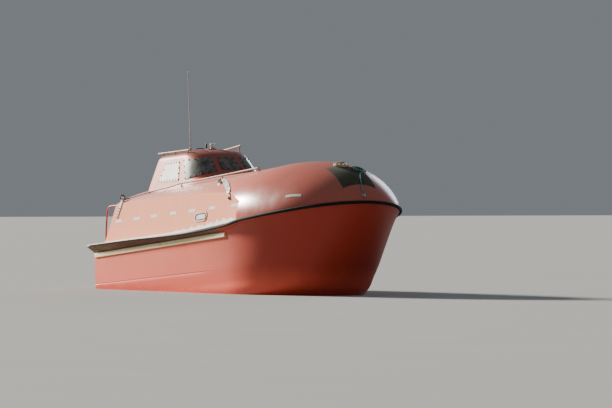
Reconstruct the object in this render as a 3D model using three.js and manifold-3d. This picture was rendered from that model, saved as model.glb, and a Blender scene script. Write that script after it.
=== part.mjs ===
// Totally enclosed lifeboat with a full round bow, a conning tower aft and side launching ledges.
// Millimetres. +X to the bow, +Y to port, +Z up. Stations are measured forward from the transom inside
// the boat group, which is shifted so that the origin is amidships, on the centre line, at the waterline.
// The boat floats a little down by the stern, so every line of the hull rises towards the bow.
import * as THREE from "three";
import { mergeVertices } from "three/addons/utils/BufferGeometryUtils.js";
import Module from "manifold-3d";

const wasm = await Module();
wasm.setup();

// Hull
const midStation = 3800;
const hullThickness = 45;
const canopyThickness = 42;
const gap = 0.5;
const restGap = 1;

// Height of a line above the water at a station: start, rise per m, curl per m2 and spring per m3.
const height = (line, x) =>
  line.z0 + (line.rise * x) / 1000 + (line.curl * x * x) / 1e6 + ((line.spring ?? 0) * x * x * x) / 1e9;

// z0 height at the transom, rise per m, curl per m2, transom and beam half breadths,
// centre station of the bow's ellipse, reach of the bow past that centre, late: how late the side widens
const hullLevels = [
  { name: "keel", z0: -400, rise: -131, curl: 22.2, transom: 60, beam: 70, centre: 4600, reach: 1300 },
  { name: "deadrise", z0: -335, rise: -108, curl: 20.5, transom: 560, beam: 620, centre: 4800, reach: 1550 },
  { name: "bilge", z0: -215, rise: 15, curl: 4.4, transom: 990, beam: 1020, centre: 4950, reach: 1760 },
  { name: "turn", z0: -70, rise: 36, curl: 3.3, transom: 1095, beam: 1090, centre: 5060, reach: 1860 },
  { name: "knuckle", z0: 82, rise: 62.3, curl: 0, transom: 1138, beam: 1135, centre: 5150, reach: 1900 },
  { name: "strip", z0: 575, rise: 74, curl: 0, transom: 1150, beam: 1215, centre: 5350, reach: 2130 },
  { name: "sheer", z0: 699, rise: 68.5, curl: -5, transom: 1158, beam: 1290, centre: 5450, reach: 2170 },
];
const sheer = hullLevels[6];
sheer.spring = 1.12;
for (const level of hullLevels) level.late = level.name === "strip" || level.name === "sheer" ? 1.5 : 1;
const stripTop = hullLevels[5];
const sternStations = 6;
const bowStations = 12;
const innerBowStations = 6;

// Canopy: a whaleback whose section goes from a high shoulder aft to a round dome at the bow
const canopyBeam = 1290;
const crown = { z0: 1561.2, rise: 157.3, curl: -29.3, spring: 2.9 };
const aftFace = { foot: 350, footZ: 725, lean: 0.5 };
const shoulder = {
  fromX: 700,
  toX: 6500,
  late: 5,
  roundFrom: 1.44,
  roundTo: 2.32,
  dropFrom: 0.27,
  dropTo: 0.651,
};
const domeScales = [1, 0.985, 0.955, 0.91, 0.86, 0.79, 0.7, 0.59, 0.46, 0.3, 0.1];
const innerDomeScales = [1, 0.955, 0.86, 0.7, 0.46, 0.1];

// Side recess above the launching ledge: the flat side panel stands at y = out + along x - lean z
const panel = { out: 1201.2, along: 0.0226, lean: 0.117 };
const recess = { end: 5750, endZ: 1440, slantX: 5290, slantZ: 1575, topX: 4300, topZ: 1760 };

// Launching ledge, skid strip and rubber fender
const ledge = {
  edge: 1285,
  bulge: 22,
  run: 5750,
  top: 14,
  bottom: -26,
  plate: 27,
  under: 5,
  taperFrom: 5150,
  drop: 30,
};
const landing = 12;
const skid = { from: 50, to: 5218, high: 70, proud: 26, deep: 60, stations: 7 };
const fender = {
  from: 130,
  thinTo: 2600,
  thickFrom: 5500,
  thin: 18,
  thick: 47,
  depth: 30,
  thinDepth: 0.55,
  thinDrop: 6,
};

// Tower outlines: height, aft face, half width, start of the round front, its length; z tilts with x
const towerTilt = 0.055;
const towerTiltStation = 2100;
const towerLevels = [
  { name: "foot", z: 1440, aft: 940, half: 700, front: 2440, long: 960, skin: 0 },
  { name: "sill", z: 1745, aft: 1000, half: 622, front: 2330, long: 700, skin: 0 },
  { name: "head", z: 2105, aft: 1105, half: 530, front: 2130, long: 450, skin: 0 },
  { name: "brow", z: 2160, aft: 1130, half: 505, front: 2100, long: 395, skin: 0.3 },
  { name: "roof edge", z: 2212, aft: 1200, half: 430, front: 2030, long: 330, skin: 0.8 },
  { name: "roof", z: 2246, aft: 1330, half: 290, front: 1930, long: 260, skin: 1 },
  { name: "roof top", z: 2258, aft: 1500, half: 120, front: 1850, long: 160, skin: 1 },
];
const towerWall = 38;
const frontSquareness = 2.5;
const paneThickness = 8;
const paneLap = 34;

// Window outlines on the tower: side panes by x and z, corner panes across a 45 degree view,
// front pane by y and z
const sidePane = [[1505, 2038], [2030, 2066], [2150, 1757], [1370, 1722]];
const cornerPane = [[1155, 2090], [1646, 2130], [1830, 1894], [1254, 1770]];
const frontPane = [[-145, 2122], [145, 2122], [180, 1932], [-180, 1932]];

// Doors
const roofHatch = { from: 1250, to: 1690, half: 230, gap: 6, skin: 36 };
const sternDoor = { from: 120, to: 740, half: 300, gap: 6 };
const hingeRadius = 9;
const hingeOut = 13;
const hingeBack = 10;

// Colours
const finish = (color, roughness, metalness = 0) =>
  new THREE.MeshStandardMaterial({ color, roughness, metalness });
const orange = finish(0xd9745c, 0.55);
const peach = finish(0xe6a286, 0.6);
const white = finish(0xe6e2d8, 0.6);
const cream = finish(0xd9cf9c, 0.7);
const black = finish(0x17181a, 0.8);
const dark = finish(0x2b2b2c, 0.7);
const steel = finish(0xa9a59c, 0.45, 0.8);
const brass = finish(0x9a7440, 0.4, 0.9);
const glass = finish(0xbfc8c9, 0.15);
const rail = finish(0xcbb494, 0.6);
const redPipe = finish(0xa9473a, 0.6);
const grey = finish(0x8c8d88, 0.7);
const ropeCream = finish(0xd8cfb4, 0.9);
const ropeTeal = finish(0x2c8f96, 0.9);

const boat = new THREE.Group();
boat.position.x = -midStation;

function addNode(name, geometry, material) {
  const mesh = new THREE.Mesh(geometry, material);
  mesh.name = name;
  boat.add(mesh);
  return mesh;
}

// Closed solid through rings of points, with each end closed by a strip across the ring.
// The faces of the ring's two halves are split along mirrored diagonals, so port matches starboard.
function loft(rings) {
  const count = rings[0].length;
  const index = [];
  const at = (ring, i) => ring * count + ((i + count) % count);
  for (let ring = 0; ring < rings.length - 1; ring++) {
    for (let i = 0; i < count; i++) {
      const [a, b, c, d] = [at(ring, i), at(ring, i + 1), at(ring + 1, i + 1), at(ring + 1, i)];
      if (i < (count - 1) / 2) index.push(a, b, c, a, c, d);
      else index.push(a, b, d, b, c, d);
    }
  }
  for (const [ring, outward] of [[0, false], [rings.length - 1, true]]) {
    for (let i = 0; i + 1 <= count - 2 - i; i++) {
      const quad = [at(ring, i), at(ring, i + 1), at(ring, count - 2 - i), at(ring, count - 1 - i)];
      if (!outward) quad.reverse();
      if (quad[0] !== quad[1] && quad[1] !== quad[2]) index.push(quad[0], quad[1], quad[2]);
      if (quad[2] !== quad[3]) index.push(quad[0], quad[2], quad[3]);
    }
  }
  const positions = new Float32Array(rings.flat().flat());
  const geometry = new THREE.BufferGeometry();
  geometry.setAttribute("position", new THREE.BufferAttribute(positions, 3));
  geometry.setIndex(index);
  return facingOut(geometry);
}

function signedVolume(geometry) {
  const p = geometry.getAttribute("position");
  const index = geometry.index.array;
  const [a, b, c] = [new THREE.Vector3(), new THREE.Vector3(), new THREE.Vector3()];
  let volume = 0;
  for (let i = 0; i < index.length; i += 3) {
    a.fromBufferAttribute(p, index[i]);
    b.fromBufferAttribute(p, index[i + 1]);
    c.fromBufferAttribute(p, index[i + 2]);
    volume += a.dot(b.cross(c)) / 6;
  }
  return volume;
}

function facingOut(geometry) {
  if (signedVolume(geometry) > 0) return geometry;
  const index = geometry.index.array;
  for (let i = 0; i < index.length; i += 3) [index[i + 1], index[i + 2]] = [index[i + 2], index[i + 1]];
  return geometry;
}

function solid(geometry) {
  const bare = geometry.clone();
  bare.deleteAttribute("normal");
  bare.deleteAttribute("uv");
  const merged = facingOut(mergeVertices(bare, 1e-3));
  return new wasm.Manifold(
    new wasm.Mesh({
      numProp: 3,
      vertProperties: new Float32Array(merged.getAttribute("position").array),
      triVerts: new Uint32Array(merged.index.array),
    }),
  );
}

function geometryOf(manifold) {
  const mesh = manifold.getMesh();
  const geometry = new THREE.BufferGeometry();
  geometry.setAttribute("position", new THREE.BufferAttribute(new Float32Array(mesh.vertProperties), 3));
  geometry.setIndex(new THREE.BufferAttribute(new Uint32Array(mesh.triVerts), 1));
  return geometry;
}

const mirrored = (geometry) => facingOut(geometry.clone().scale(1, -1, 1));

const joined = (...geometries) => geometries.map(solid).reduce((a, b) => a.add(b));

// Box between two corners
function block(x0, x1, y0, y1, z0, z1) {
  const geometry = new THREE.BoxGeometry(x1 - x0, y1 - y0, z1 - z0);
  return geometry.translate((x0 + x1) / 2, (y0 + y1) / 2, (z0 + z1) / 2);
}

// Round bar between two points
function bar(from, to, radius, sides = 12, radiusTo = radius) {
  const start = new THREE.Vector3(...from);
  const way = new THREE.Vector3(...to).sub(start);
  const geometry = new THREE.CylinderGeometry(radiusTo, radius, way.length(), sides);
  geometry.translate(0, way.length() / 2, 0);
  const turn = new THREE.Quaternion().setFromUnitVectors(new THREE.Vector3(0, 1, 0), way.normalize());
  return geometry.applyQuaternion(turn).translate(start.x, start.y, start.z);
}

// Round tube along a smooth curve through points
function tube(points, radius, steps, sides = 8) {
  const path = new THREE.CatmullRomCurve3(points.map((p) => new THREE.Vector3(...p)), false, "centripetal");
  const section = new THREE.Shape();
  for (let i = 0; i < sides; i++) {
    const angle = (2 * Math.PI * i) / sides;
    const [u, v] = [radius * Math.cos(angle), radius * Math.sin(angle)];
    if (i === 0) section.moveTo(u, v);
    else section.lineTo(u, v);
  }
  section.closePath();
  return new THREE.ExtrudeGeometry(section, { steps, extrudePath: path, bevelEnabled: false });
}

// Flat outline pushed through the boat: place turns the outline's a and b and a depth into a point
const prism = (outline, place, near, far) =>
  loft([near, far].map((depth) => outline.map(([a, b]) => place(a, b, depth))));

// Outline drawn in on every side by moving its corners towards its middle
function drawnIn(outline, by) {
  const middle = [0, 1].map((k) => outline.reduce((sum, p) => sum + p[k], 0) / outline.length);
  return outline.map(([a, b]) => [a + Math.sign(middle[0] - a) * by, b + Math.sign(middle[1] - b) * by]);
}

// Hull

function halfBreadth(level, x) {
  const along = Math.min(Math.max(x / level.centre, 0), 1);
  const wide = Math.pow((1 - Math.cos(Math.PI * along)) / 2, level.late);
  return level.transom + (level.beam - level.transom) * wide;
}

// Both sides of an outline, starboard first, from its list of [x, y, z] with y to starboard negative
const bothSides = (side) => [...side, ...side.slice(0, -1).reverse().map(([x, y, z]) => [x, -y, z])];

function hullRing(level, inset, aft, lift, bowSteps = bowStations) {
  const side = [];
  for (let i = 0; i < sternStations; i++) {
    const x = aft + ((level.centre - aft) * i) / sternStations;
    side.push([x, inset - halfBreadth(level, x), height(level, x) + lift]);
  }
  for (let i = 0; i <= bowSteps; i++) {
    const turn = (Math.PI / 2) * (i / bowSteps);
    const x = level.centre + (level.reach - inset) * Math.sin(turn);
    side.push([x, Math.min(inset - level.beam, -1) * Math.cos(turn), height(level, x) + lift]);
  }
  side[side.length - 1][1] = 0;
  return bothSides(side);
}

const hullOuter = (grow) =>
  loft(hullLevels.map((level, i) => hullRing(level, -grow, -grow, i === 0 ? -grow : i === 6 ? grow : 0)));

// Space inside the hull: it runs past the sheer, and its narrow keel is drawn in less than the sides
const innerKeelInset = 20;
const openAbove = 200;

function hullInner(inset) {
  const lifts = [inset, inset * 0.9, inset * 0.5, inset * 0.2, 0, 0, 0];
  const rings = hullLevels.map((level, i) => {
    const side = i === 0 ? innerKeelInset : inset;
    return hullRing(level, side, inset, lifts[i], innerBowStations);
  });
  rings.push(hullRing(sheer, inset, inset, openAbove, innerBowStations));
  return loft(rings);
}

// Half breadth of the hull at a station aft of the bow and a height
function hullSide(x, z) {
  const upper = hullLevels.findIndex((level) => height(level, x) >= z);
  const above = hullLevels[Math.max(upper, 1)];
  const below = hullLevels[Math.max(upper, 1) - 1];
  const share = (z - height(below, x)) / (height(above, x) - height(below, x));
  return halfBreadth(below, x) + (halfBreadth(above, x) - halfBreadth(below, x)) * share;
}

// Canopy

function domeShare(scale, x) {
  const ahead = Math.min(Math.max((x - shoulder.fromX) / (shoulder.toX - shoulder.fromX), 0), 1);
  const along = Math.pow(ahead, shoulder.late);
  const round = shoulder.roundFrom + (shoulder.roundTo - shoulder.roundFrom) * along;
  const drop = shoulder.dropFrom + (shoulder.dropTo - shoulder.dropFrom) * along;
  return Math.pow(1 - Math.pow(Math.min(scale, 1), round), drop);
}

function domeHeight(scale, x, inset = 0) {
  const foot = height(sheer, x);
  return foot + (height(crown, x) - inset - foot) * domeShare(scale, x);
}

// Height of the whaleback's outer surface over a point of the deck plan
function domeAt(x, y) {
  const ahead = Math.max(x - sheer.centre, 0) / sheer.reach;
  return domeHeight(Math.hypot(ahead, y / canopyBeam), x);
}

// How much further than square the aft face's inner side lies along the boat, as it leans
const leanStretch = 1.12;

function domeRing(scale, inset, bowSteps) {
  let aft = aftFace.foot;
  for (let i = 0; i < 6; i++) {
    aft = aftFace.foot + inset * leanStretch + aftFace.lean * (domeHeight(scale, aft, inset) - aftFace.footZ);
  }
  const side = [];
  const half = (canopyBeam - inset) * scale;
  for (let i = 0; i < sternStations; i++) {
    const x = aft + ((sheer.centre - aft) * i) / sternStations;
    side.push([x, -half, domeHeight(scale, x, inset)]);
  }
  for (let i = 0; i <= bowSteps; i++) {
    const turn = (Math.PI / 2) * (i / bowSteps);
    const x = sheer.centre + (sheer.reach - inset) * scale * Math.sin(turn);
    side.push([x, -half * Math.cos(turn), domeHeight(scale, x, inset)]);
  }
  side[side.length - 1][1] = 0;
  return bothSides(side);
}

const panelOut = (x, z) => panel.out + panel.along * x - panel.lean * z;

// Wedge that is cut away outboard of the side panel, drawn to starboard, well past the boat's side
const wedge = { aft: -400, low: 200, out: 2200 };

function recessCut(inset) {
  const outline = [
    [wedge.aft, wedge.low],
    [recess.end + inset, wedge.low],
    [recess.end + inset, recess.endZ + inset],
    [recess.slantX, recess.slantZ + inset],
    [recess.topX, recess.topZ + inset],
    [wedge.aft, recess.topZ + inset],
  ];
  return loft([
    outline.map(([x, z]) => [x, inset - panelOut(x, z), z]),
    outline.map(([x, z]) => [x, -wedge.out, z]),
  ]);
}

function canopySolid(inset, foot) {
  const scales = inset > 0 ? innerDomeScales : domeScales;
  const bowSteps = inset > 0 ? innerBowStations : bowStations;
  const rings = scales.map((scale) => domeRing(scale, inset, bowSteps));
  rings[0] = rings[0].map(([x, y, z]) => [x, y, z + foot]);
  const cut = recessCut(inset);
  return solid(loft(rings)).subtract(solid(cut)).subtract(solid(mirrored(cut)));
}

const innerDrop = -300;
const hullBulk = solid(hullOuter(gap));
const hullShell = solid(hullOuter(0)).subtract(solid(hullInner(hullThickness)));
const canopyBulk = canopySolid(-gap, 0);
const canopyShell = canopySolid(0, restGap).subtract(canopySolid(canopyThickness, innerDrop));

// Tower

const towerCorner = { radius: 60, bevel: 0.3 };
const frontSteps = 7;

// Outline at a level, grown by an offset that goes into the walls low down and into the roof on top
function towerRing(level, offset) {
  const z = level.z + offset * level.skin;
  const grow = offset * (1 - 0.9 * level.skin);
  const half = level.half + grow;
  const aft = level.aft - grow;
  const long = level.long + grow;
  const corner = Math.min(towerCorner.radius, half / 3);
  const plan = [
    [aft, corner - half],
    [aft + corner * towerCorner.bevel, corner * towerCorner.bevel - half],
    [aft + corner, -half],
    [(aft + level.front) / 2, -half],
  ];
  const square = 2 / frontSquareness;
  for (let i = 0; i <= frontSteps; i++) {
    const turn = (Math.PI / 2) * (i / frontSteps);
    plan.push([
      level.front + long * Math.pow(Math.sin(turn), square),
      -half * Math.pow(Math.max(Math.cos(turn), 0), square),
    ]);
  }
  plan[plan.length - 1][1] = 0;
  return bothSides(plan.map(([x, y]) => [x, y, z + towerTilt * (x - towerTiltStation)]));
}

const towerSolid = (offset) => solid(loft(towerLevels.map((level) => towerRing(level, offset))));
const towerBulk = towerSolid(gap);

const byXZ = (x, z, depth) => [x, depth, z];
const byYZ = (y, z, depth) => [depth, y, z];
const byXY = (x, y, depth) => [x, y, depth];
const byCorner = (across, z, depth) => [(across + depth) * Math.SQRT1_2, (across - depth) * Math.SQRT1_2, z];

const windows = [
  { name: "window_side_starboard", outline: sidePane, place: byXZ, near: -900, far: -300, port: false },
  { name: "window_side_port", outline: sidePane, place: byXZ, near: -900, far: -300, port: true },
  { name: "window_corner_starboard", outline: cornerPane, place: byCorner, near: 1300, far: 2900, port: false },
  { name: "window_corner_port", outline: cornerPane, place: byCorner, near: 1300, far: 2900, port: true },
  { name: "window_front", outline: frontPane, place: byYZ, near: 2300, far: 3200, port: false },
];
const windowCut = (w, by) => {
  const cut = prism(drawnIn(w.outline, by), w.place, w.near, w.far);
  return solid(w.port ? mirrored(cut) : cut);
};

const hatchOutline = (by) => [
  [roofHatch.from + by, -roofHatch.half + by],
  [roofHatch.to - by, -roofHatch.half + by],
  [roofHatch.to - by, roofHatch.half - by],
  [roofHatch.from + by, roofHatch.half - by],
];
const hatchCut = (by) => solid(prism(hatchOutline(by), byXY, 1950, 2600));

let tower = towerSolid(0).subtract(towerSolid(-towerWall)).subtract(canopyBulk).subtract(hatchCut(0));
for (const w of windows) tower = tower.subtract(windowCut(w, paneLap));

const glazing = towerSolid(restGap + paneThickness).subtract(towerSolid(restGap));
const paneOf = (w) => glazing.intersect(windowCut(w, 0)).subtract(canopyBulk);
const panes = windows.map((w) => ({ name: w.name, pane: paneOf(w) }));

// Doors: each lid is the shell's own skin, with two hinge barrels on its pivot line

// Height of the roof's after slope on the centre line
function roofAt(x) {
  const upper = towerLevels.findIndex((level) => level.aft >= x);
  const [below, above] = [towerLevels[upper - 1], towerLevels[upper]];
  const share = (x - below.aft) / (above.aft - below.aft);
  return below.z + (above.z - below.z) * share + towerTilt * (x - towerTiltStation);
}
const hatchPivot = [roofHatch.from - hingeBack, 0, roofAt(roofHatch.from) + hingeOut];

// Hinge leaves: their half width and thickness at the barrel, how far they stand over the skin and go
// into it, and for each lid how far off the centre line they are, their barrels' half length and reach
const leaf = { half: 25, thick: 5, over: 8, under: 12, lip: 3 };
const hatchHinge = { y: 160, barrel: 30, reach: 90 };
const doorHinge = { y: 205, barrel: 35, reach: 100 };

function hatchLid() {
  let lid = towerSolid(0).subtract(towerSolid(-roofHatch.skin)).intersect(hatchCut(roofHatch.gap));
  const [x, , z] = hatchPivot;
  const [near, far] = [roofHatch.from + 2 * roofHatch.gap, roofHatch.from + hatchHinge.reach];
  const leafLine = [
    [x, z + leaf.thick],
    [far, roofAt(far) + leaf.over],
    [far, roofAt(far) - leaf.under],
    [near, roofAt(near) - leaf.under],
    [near, roofAt(near) + leaf.lip],
    [x, z - leaf.thick],
  ];
  for (const side of [-1, 1]) {
    const middle = side * hatchHinge.y;
    const ends = [-side, side].map((way) => [x, middle + way * hatchHinge.barrel, z]);
    lid = lid.add(solid(bar(ends[0], ends[1], hingeRadius)));
    lid = lid.add(solid(prism(leafLine, byXZ, middle - leaf.half, middle + leaf.half)));
  }
  return lid;
}

const leanAngle = Math.atan(aftFace.lean);
const slopeUp = [Math.sin(leanAngle), Math.cos(leanAngle)];
const slopeOut = [-Math.cos(leanAngle), Math.sin(leanAngle)];
// Point of the aft face: y across, s up its slope, n outwards from it
const onAftFace = (y, s, n) => [
  aftFace.foot + slopeUp[0] * s + slopeOut[0] * n,
  y,
  aftFace.footZ + slopeUp[1] * s + slopeOut[1] * n,
];
const doorOutline = (by) => [
  [-sternDoor.half + by, sternDoor.from + by],
  [sternDoor.half - by, sternDoor.from + by],
  [sternDoor.half - by, sternDoor.to - by],
  [-sternDoor.half + by, sternDoor.to - by],
];
const doorCutHalf = 150;
const doorCut = (by) => solid(prism(doorOutline(by), onAftFace, -doorCutHalf, doorCutHalf));
const doorPivot = onAftFace(0, sternDoor.to + hingeBack, hingeOut);

function sternDoorLid() {
  let lid = canopyShell.intersect(doorCut(sternDoor.gap));
  const s = sternDoor.to + hingeBack;
  const [near, far] = [sternDoor.to - 2 * sternDoor.gap, sternDoor.to - doorHinge.reach];
  const leafLine = [
    [s, hingeOut + leaf.thick],
    [far, leaf.over],
    [far, -leaf.under],
    [near, -leaf.under],
    [near, leaf.lip],
    [s, hingeOut - leaf.thick],
  ];
  const onDoor = (up, out, y) => onAftFace(y, up, out);
  for (const side of [-1, 1]) {
    const middle = side * doorHinge.y;
    const ends = [-side, side].map((way) => onAftFace(middle + way * doorHinge.barrel, s, hingeOut));
    lid = lid.add(solid(bar(ends[0], ends[1], hingeRadius)));
    lid = lid.add(solid(prism(leafLine, onDoor, middle - leaf.half, middle + leaf.half)));
  }
  return lid;
}

// Shells

// Opening in the whaleback under the tower
const well = { from: 1190, to: 2560, half: 430, low: 1300, high: 2400 };
const towerWell = solid(block(well.from, well.to, -well.half, well.half, well.low, well.high));
const porthole = {
  x: 4210,
  z: 1194,
  long: 415,
  high: 120,
  tilt: 0.07,
  ring: 18,
  proud: 12,
  lap: 14,
  paneGap: 1,
  paneFrom: -26,
  paneTo: -18,
};
const throughPanel = 120;

function stadium(long, high, steps = 7) {
  const points = [];
  for (const end of [1, -1]) {
    for (let i = 0; i <= steps; i++) {
      const angle = (Math.PI * i) / steps - Math.PI / 2;
      points.push([
        end * ((long - high) / 2 + (high / 2) * Math.cos(angle)),
        end * (high / 2) * Math.sin(angle),
      ]);
    }
  }
  return points;
}

// Point outboard of the starboard panel at a station and height, at a depth out from its face
const onPanel = (x, z, depth) => [x, -panelOut(x, z) - depth, z];

// Porthole's outline, grown all round, pushed through the panel from one depth to another
function portholeCut(grow, from, to) {
  const outline = stadium(porthole.long + 2 * grow, porthole.high + 2 * grow);
  const tilted = outline.map(([a, b]) => [porthole.x + a, porthole.z + b + porthole.tilt * a]);
  return prism(tilted, onPanel, from, to);
}

const portholeHole = portholeCut(0, -throughPanel, throughPanel);
const canopy = canopyShell
  .subtract(towerWell)
  .subtract(doorCut(0))
  .subtract(solid(portholeHole))
  .subtract(solid(mirrored(portholeHole)));

addNode("hull", geometryOf(hullShell), orange);
addNode("canopy", geometryOf(canopy), peach);
addNode("tower", geometryOf(tower), peach);
for (const { name, pane } of panes) addNode(name, geometryOf(pane), glass);
addNode("tower_hatch", geometryOf(hatchLid()), peach);
addNode("stern_door", geometryOf(sternDoorLid()), peach);

const portholeOpening = solid(portholeCut(-porthole.lap, -throughPanel, throughPanel));
const portholeRing = solid(portholeCut(porthole.ring, restGap, porthole.proud));
const portholeFrame = geometryOf(portholeRing.subtract(portholeOpening));
const portholeGlass = portholeCut(-porthole.paneGap, porthole.paneFrom, porthole.paneTo);
addNode("porthole_frame_starboard", portholeFrame, steel);
addNode("porthole_frame_port", mirrored(portholeFrame), steel);
addNode("porthole_glass_starboard", portholeGlass, glass);
addNode("porthole_glass_port", mirrored(portholeGlass), glass);

// Ledges, strips, fender and aft deck

const sheerHalf = (x) => {
  const ahead = Math.max(x - sheer.centre, 0) / sheer.reach;
  return ahead > 0 ? sheer.beam * Math.sqrt(1 - ahead * ahead) : halfBreadth(sheer, x);
};
const clearOfSheer = 4;
function ledgeEdge(x) {
  const bulge = ledge.bulge * Math.sin((Math.PI * x) / ledge.run);
  return Math.max(ledge.edge + bulge, sheerHalf(x) + clearOfSheer);
}

// How far the ledge's outer edge sags below the sheer ahead of amidships
const sag = { from: 1800, full: 4200, until: 5400, to: 5950 };
function edgeDrop(x) {
  const { smoothstep } = THREE.MathUtils;
  return ledge.drop * (smoothstep(x, sag.from, sag.full) - smoothstep(x, sag.until, sag.to));
}

const ledgeFront = ledge.run - landing;
const ledgeStations = [0, 700, 1400, 2100, 2800, 3500, 4200, 4700, ledge.taperFrom, 5350, 5550, ledgeFront];
const deckInset = 6;

function launchLedge() {
  const rings = [];
  for (const x of ledgeStations) {
    const z = height(sheer, x);
    const taper = Math.max(0, (x - ledge.taperFrom) / (ledge.run - ledge.taperFrom));
    const drop = edgeDrop(x);
    const foot = height(stripTop, x) + (z + ledge.bottom - drop - 6 - height(stripTop, x)) * taper;
    const inner = panelOut(x, z) - deckInset;
    rings.push(
      [
        [inner, z + ledge.plate],
        [ledgeEdge(x), z + ledge.top - drop],
        [ledgeEdge(x), z + ledge.bottom - drop],
        [hullSide(x, foot) - landing, foot],
        [hullSide(x, z - 2) - landing, z + ledge.under],
        [inner, z + ledge.under],
      ].map(([y, up]) => [x, -y, up]),
    );
  }
  return geometryOf(solid(loft(rings)).subtract(hullBulk).subtract(canopyBulk));
}

function skidStrip() {
  const rings = [];
  for (let i = 0; i <= skid.stations; i++) {
    const x = skid.from + ((skid.to - skid.from) * i) / skid.stations;
    const top = height(stripTop, x) - 2;
    const foot = top - skid.high;
    const outer = hullSide(x, top - skid.high / 2) + skid.proud;
    const inner = outer - skid.deep;
    rings.push([[inner, top], [outer, top], [outer, foot], [inner, foot]].map(([y, z]) => [x, -y, z]));
  }
  return geometryOf(solid(loft(rings)).subtract(hullBulk));
}

// Rubber strip from quarter to quarter: it follows the ledge's edge and then the sheer round the bow
function fenderStrip() {
  const side = ledgeStations.map((x) => [Math.max(x, fender.from), -ledgeEdge(Math.max(x, fender.from))]);
  const bow = hullRing(sheer, 0, 0, 0).slice(sternStations, sternStations + bowStations + 1);
  side.push(...bow.filter(([x]) => x > ledge.run));
  const path = bothSides(side.map(([x, y]) => [x, y, 0]));
  const rings = path.map(([x, y], i) => {
    const before = path[Math.max(i - 1, 0)];
    const after = path[Math.min(i + 1, path.length - 1)];
    const way = new THREE.Vector2(after[0] - before[0], after[1] - before[1]).normalize();
    const grow = Math.min(Math.max((x - fender.thinTo) / (fender.thickFrom - fender.thinTo), 0), 1);
    const half = (fender.thin + (fender.thick - fender.thin) * grow) / 2;
    const depth = fender.depth * (fender.thinDepth + (1 - fender.thinDepth) * grow);
    const z = height(sheer, x) - fender.thinDrop * (1 - grow) - edgeDrop(x);
    const section = [
      [0, -half],
      [0.65 * depth, -half],
      [depth, -0.4 * half],
      [depth, 0.4 * half],
      [0.65 * depth, half],
      [0, half],
    ];
    return section.map(([d, up]) => [x + way.y * (d + restGap), y - way.x * (d + restGap), z + up]);
  });
  return loft(rings);
}

const deckEnd = 700;

function aftDeck() {
  const rings = [0, deckEnd].map((x) => {
    const low = height(sheer, x) + restGap;
    const top = height(sheer, x) + ledge.plate;
    const half = panelOut(x, height(sheer, x)) - deckInset - restGap;
    return [[-half, low], [half, low], [half, top], [-half, top]].map(([y, up]) => [x, y, up]);
  });
  return geometryOf(solid(loft(rings)).subtract(canopyBulk));
}

const ledgeStarboard = launchLedge();
const stripStarboard = skidStrip();
addNode("ledge_starboard", ledgeStarboard, white);
addNode("ledge_port", mirrored(ledgeStarboard), white);
addNode("skid_strip_starboard", stripStarboard, cream);
addNode("skid_strip_port", mirrored(stripStarboard), cream);
addNode("bow_fender", fenderStrip(), black);
addNode("aft_deck", aftDeck(), white);

// Rails, straps and bow gear

// Point over the whaleback at a plan position, to starboard when y is negative
const overDome = ([x, y], up) => [x, y, domeAt(x, y) + up];

const grabRail = { radius: 15, up: 52, thinRadius: 10, thinUp: 24, foot: 11, thinFoot: 7, sunk: 30 };
const grabPlan = [[4880, -470], [4370, -560], [3910, -650], [3260, -750], [2680, -800]];
const thinPlan = [[2680, -800], [2200, -830], [1650, -895], [1200, -960], [860, -1010]];

function grabRails() {
  const thinLine = thinPlan.map((p, i) => overDome(p, i === 0 ? grabRail.up : grabRail.thinUp));
  let rails = solid(tube(grabPlan.map((p) => overDome(p, grabRail.up)), grabRail.radius, 12));
  rails = rails.add(solid(tube(thinLine, grabRail.thinRadius, 12, 6)));
  for (const p of [grabPlan[0], grabPlan[2], grabPlan[4]]) {
    rails = rails.add(solid(bar(overDome(p, -grabRail.sunk), overDome(p, grabRail.up), grabRail.foot, 8)));
  }
  for (const p of [thinPlan[2], thinPlan[4]]) {
    const ends = [-grabRail.sunk, grabRail.thinUp].map((up) => overDome(p, up));
    rails = rails.add(solid(bar(ends[0], ends[1], grabRail.thinFoot, 6)));
  }
  return geometryOf(rails.subtract(canopyBulk));
}
const grabStarboard = grabRails();
addNode("grab_rail_starboard", grabStarboard, rail);
addNode("grab_rail_port", mirrored(grabStarboard), rail);

// Roof rails: y off the centre line, the bar from aft to forward and the tops of its posts, by x and z
const roofBar = { radius: 13, post: 10, postFrom: 2050 };
const roofRails = [
  {
    name: "roof_rail_starboard",
    y: -455,
    line: [[1010, 2188], [1500, 2212], [2200, 2247]],
    posts: [[1200, 2197], [1650, 2219], [2150, 2244]],
  },
  {
    name: "roof_rail_port",
    y: 430,
    line: [[1200, 2215], [1700, 2255], [2240, 2318]],
    posts: [[1300, 2222], [1750, 2260], [2190, 2312]],
  },
];
for (const { name, y, line, posts } of roofRails) {
  let rails = solid(tube(line.map(([x, z]) => [x, y, z]), roofBar.radius, 8));
  for (const [x, z] of posts) {
    rails = rails.add(solid(bar([x, y, roofBar.postFrom], [x, y, z], roofBar.post, 8)));
  }
  addNode(name, geometryOf(rails.subtract(towerBulk)), rail);
}

// Stern rail: a pipe that stands on the ledge and bends forward over the panel's after edge
const sternPipe = { x: 318, y: -1083, above: 4, radius: 15, flange: 30, flangeHigh: 14 };
const sternBends = [
  [322, -1080, 1000],
  [340, -1070, 1230],
  [385, -1062, 1318],
  [480, -1055, 1345],
  [700, -1045, 1350],
];

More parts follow.
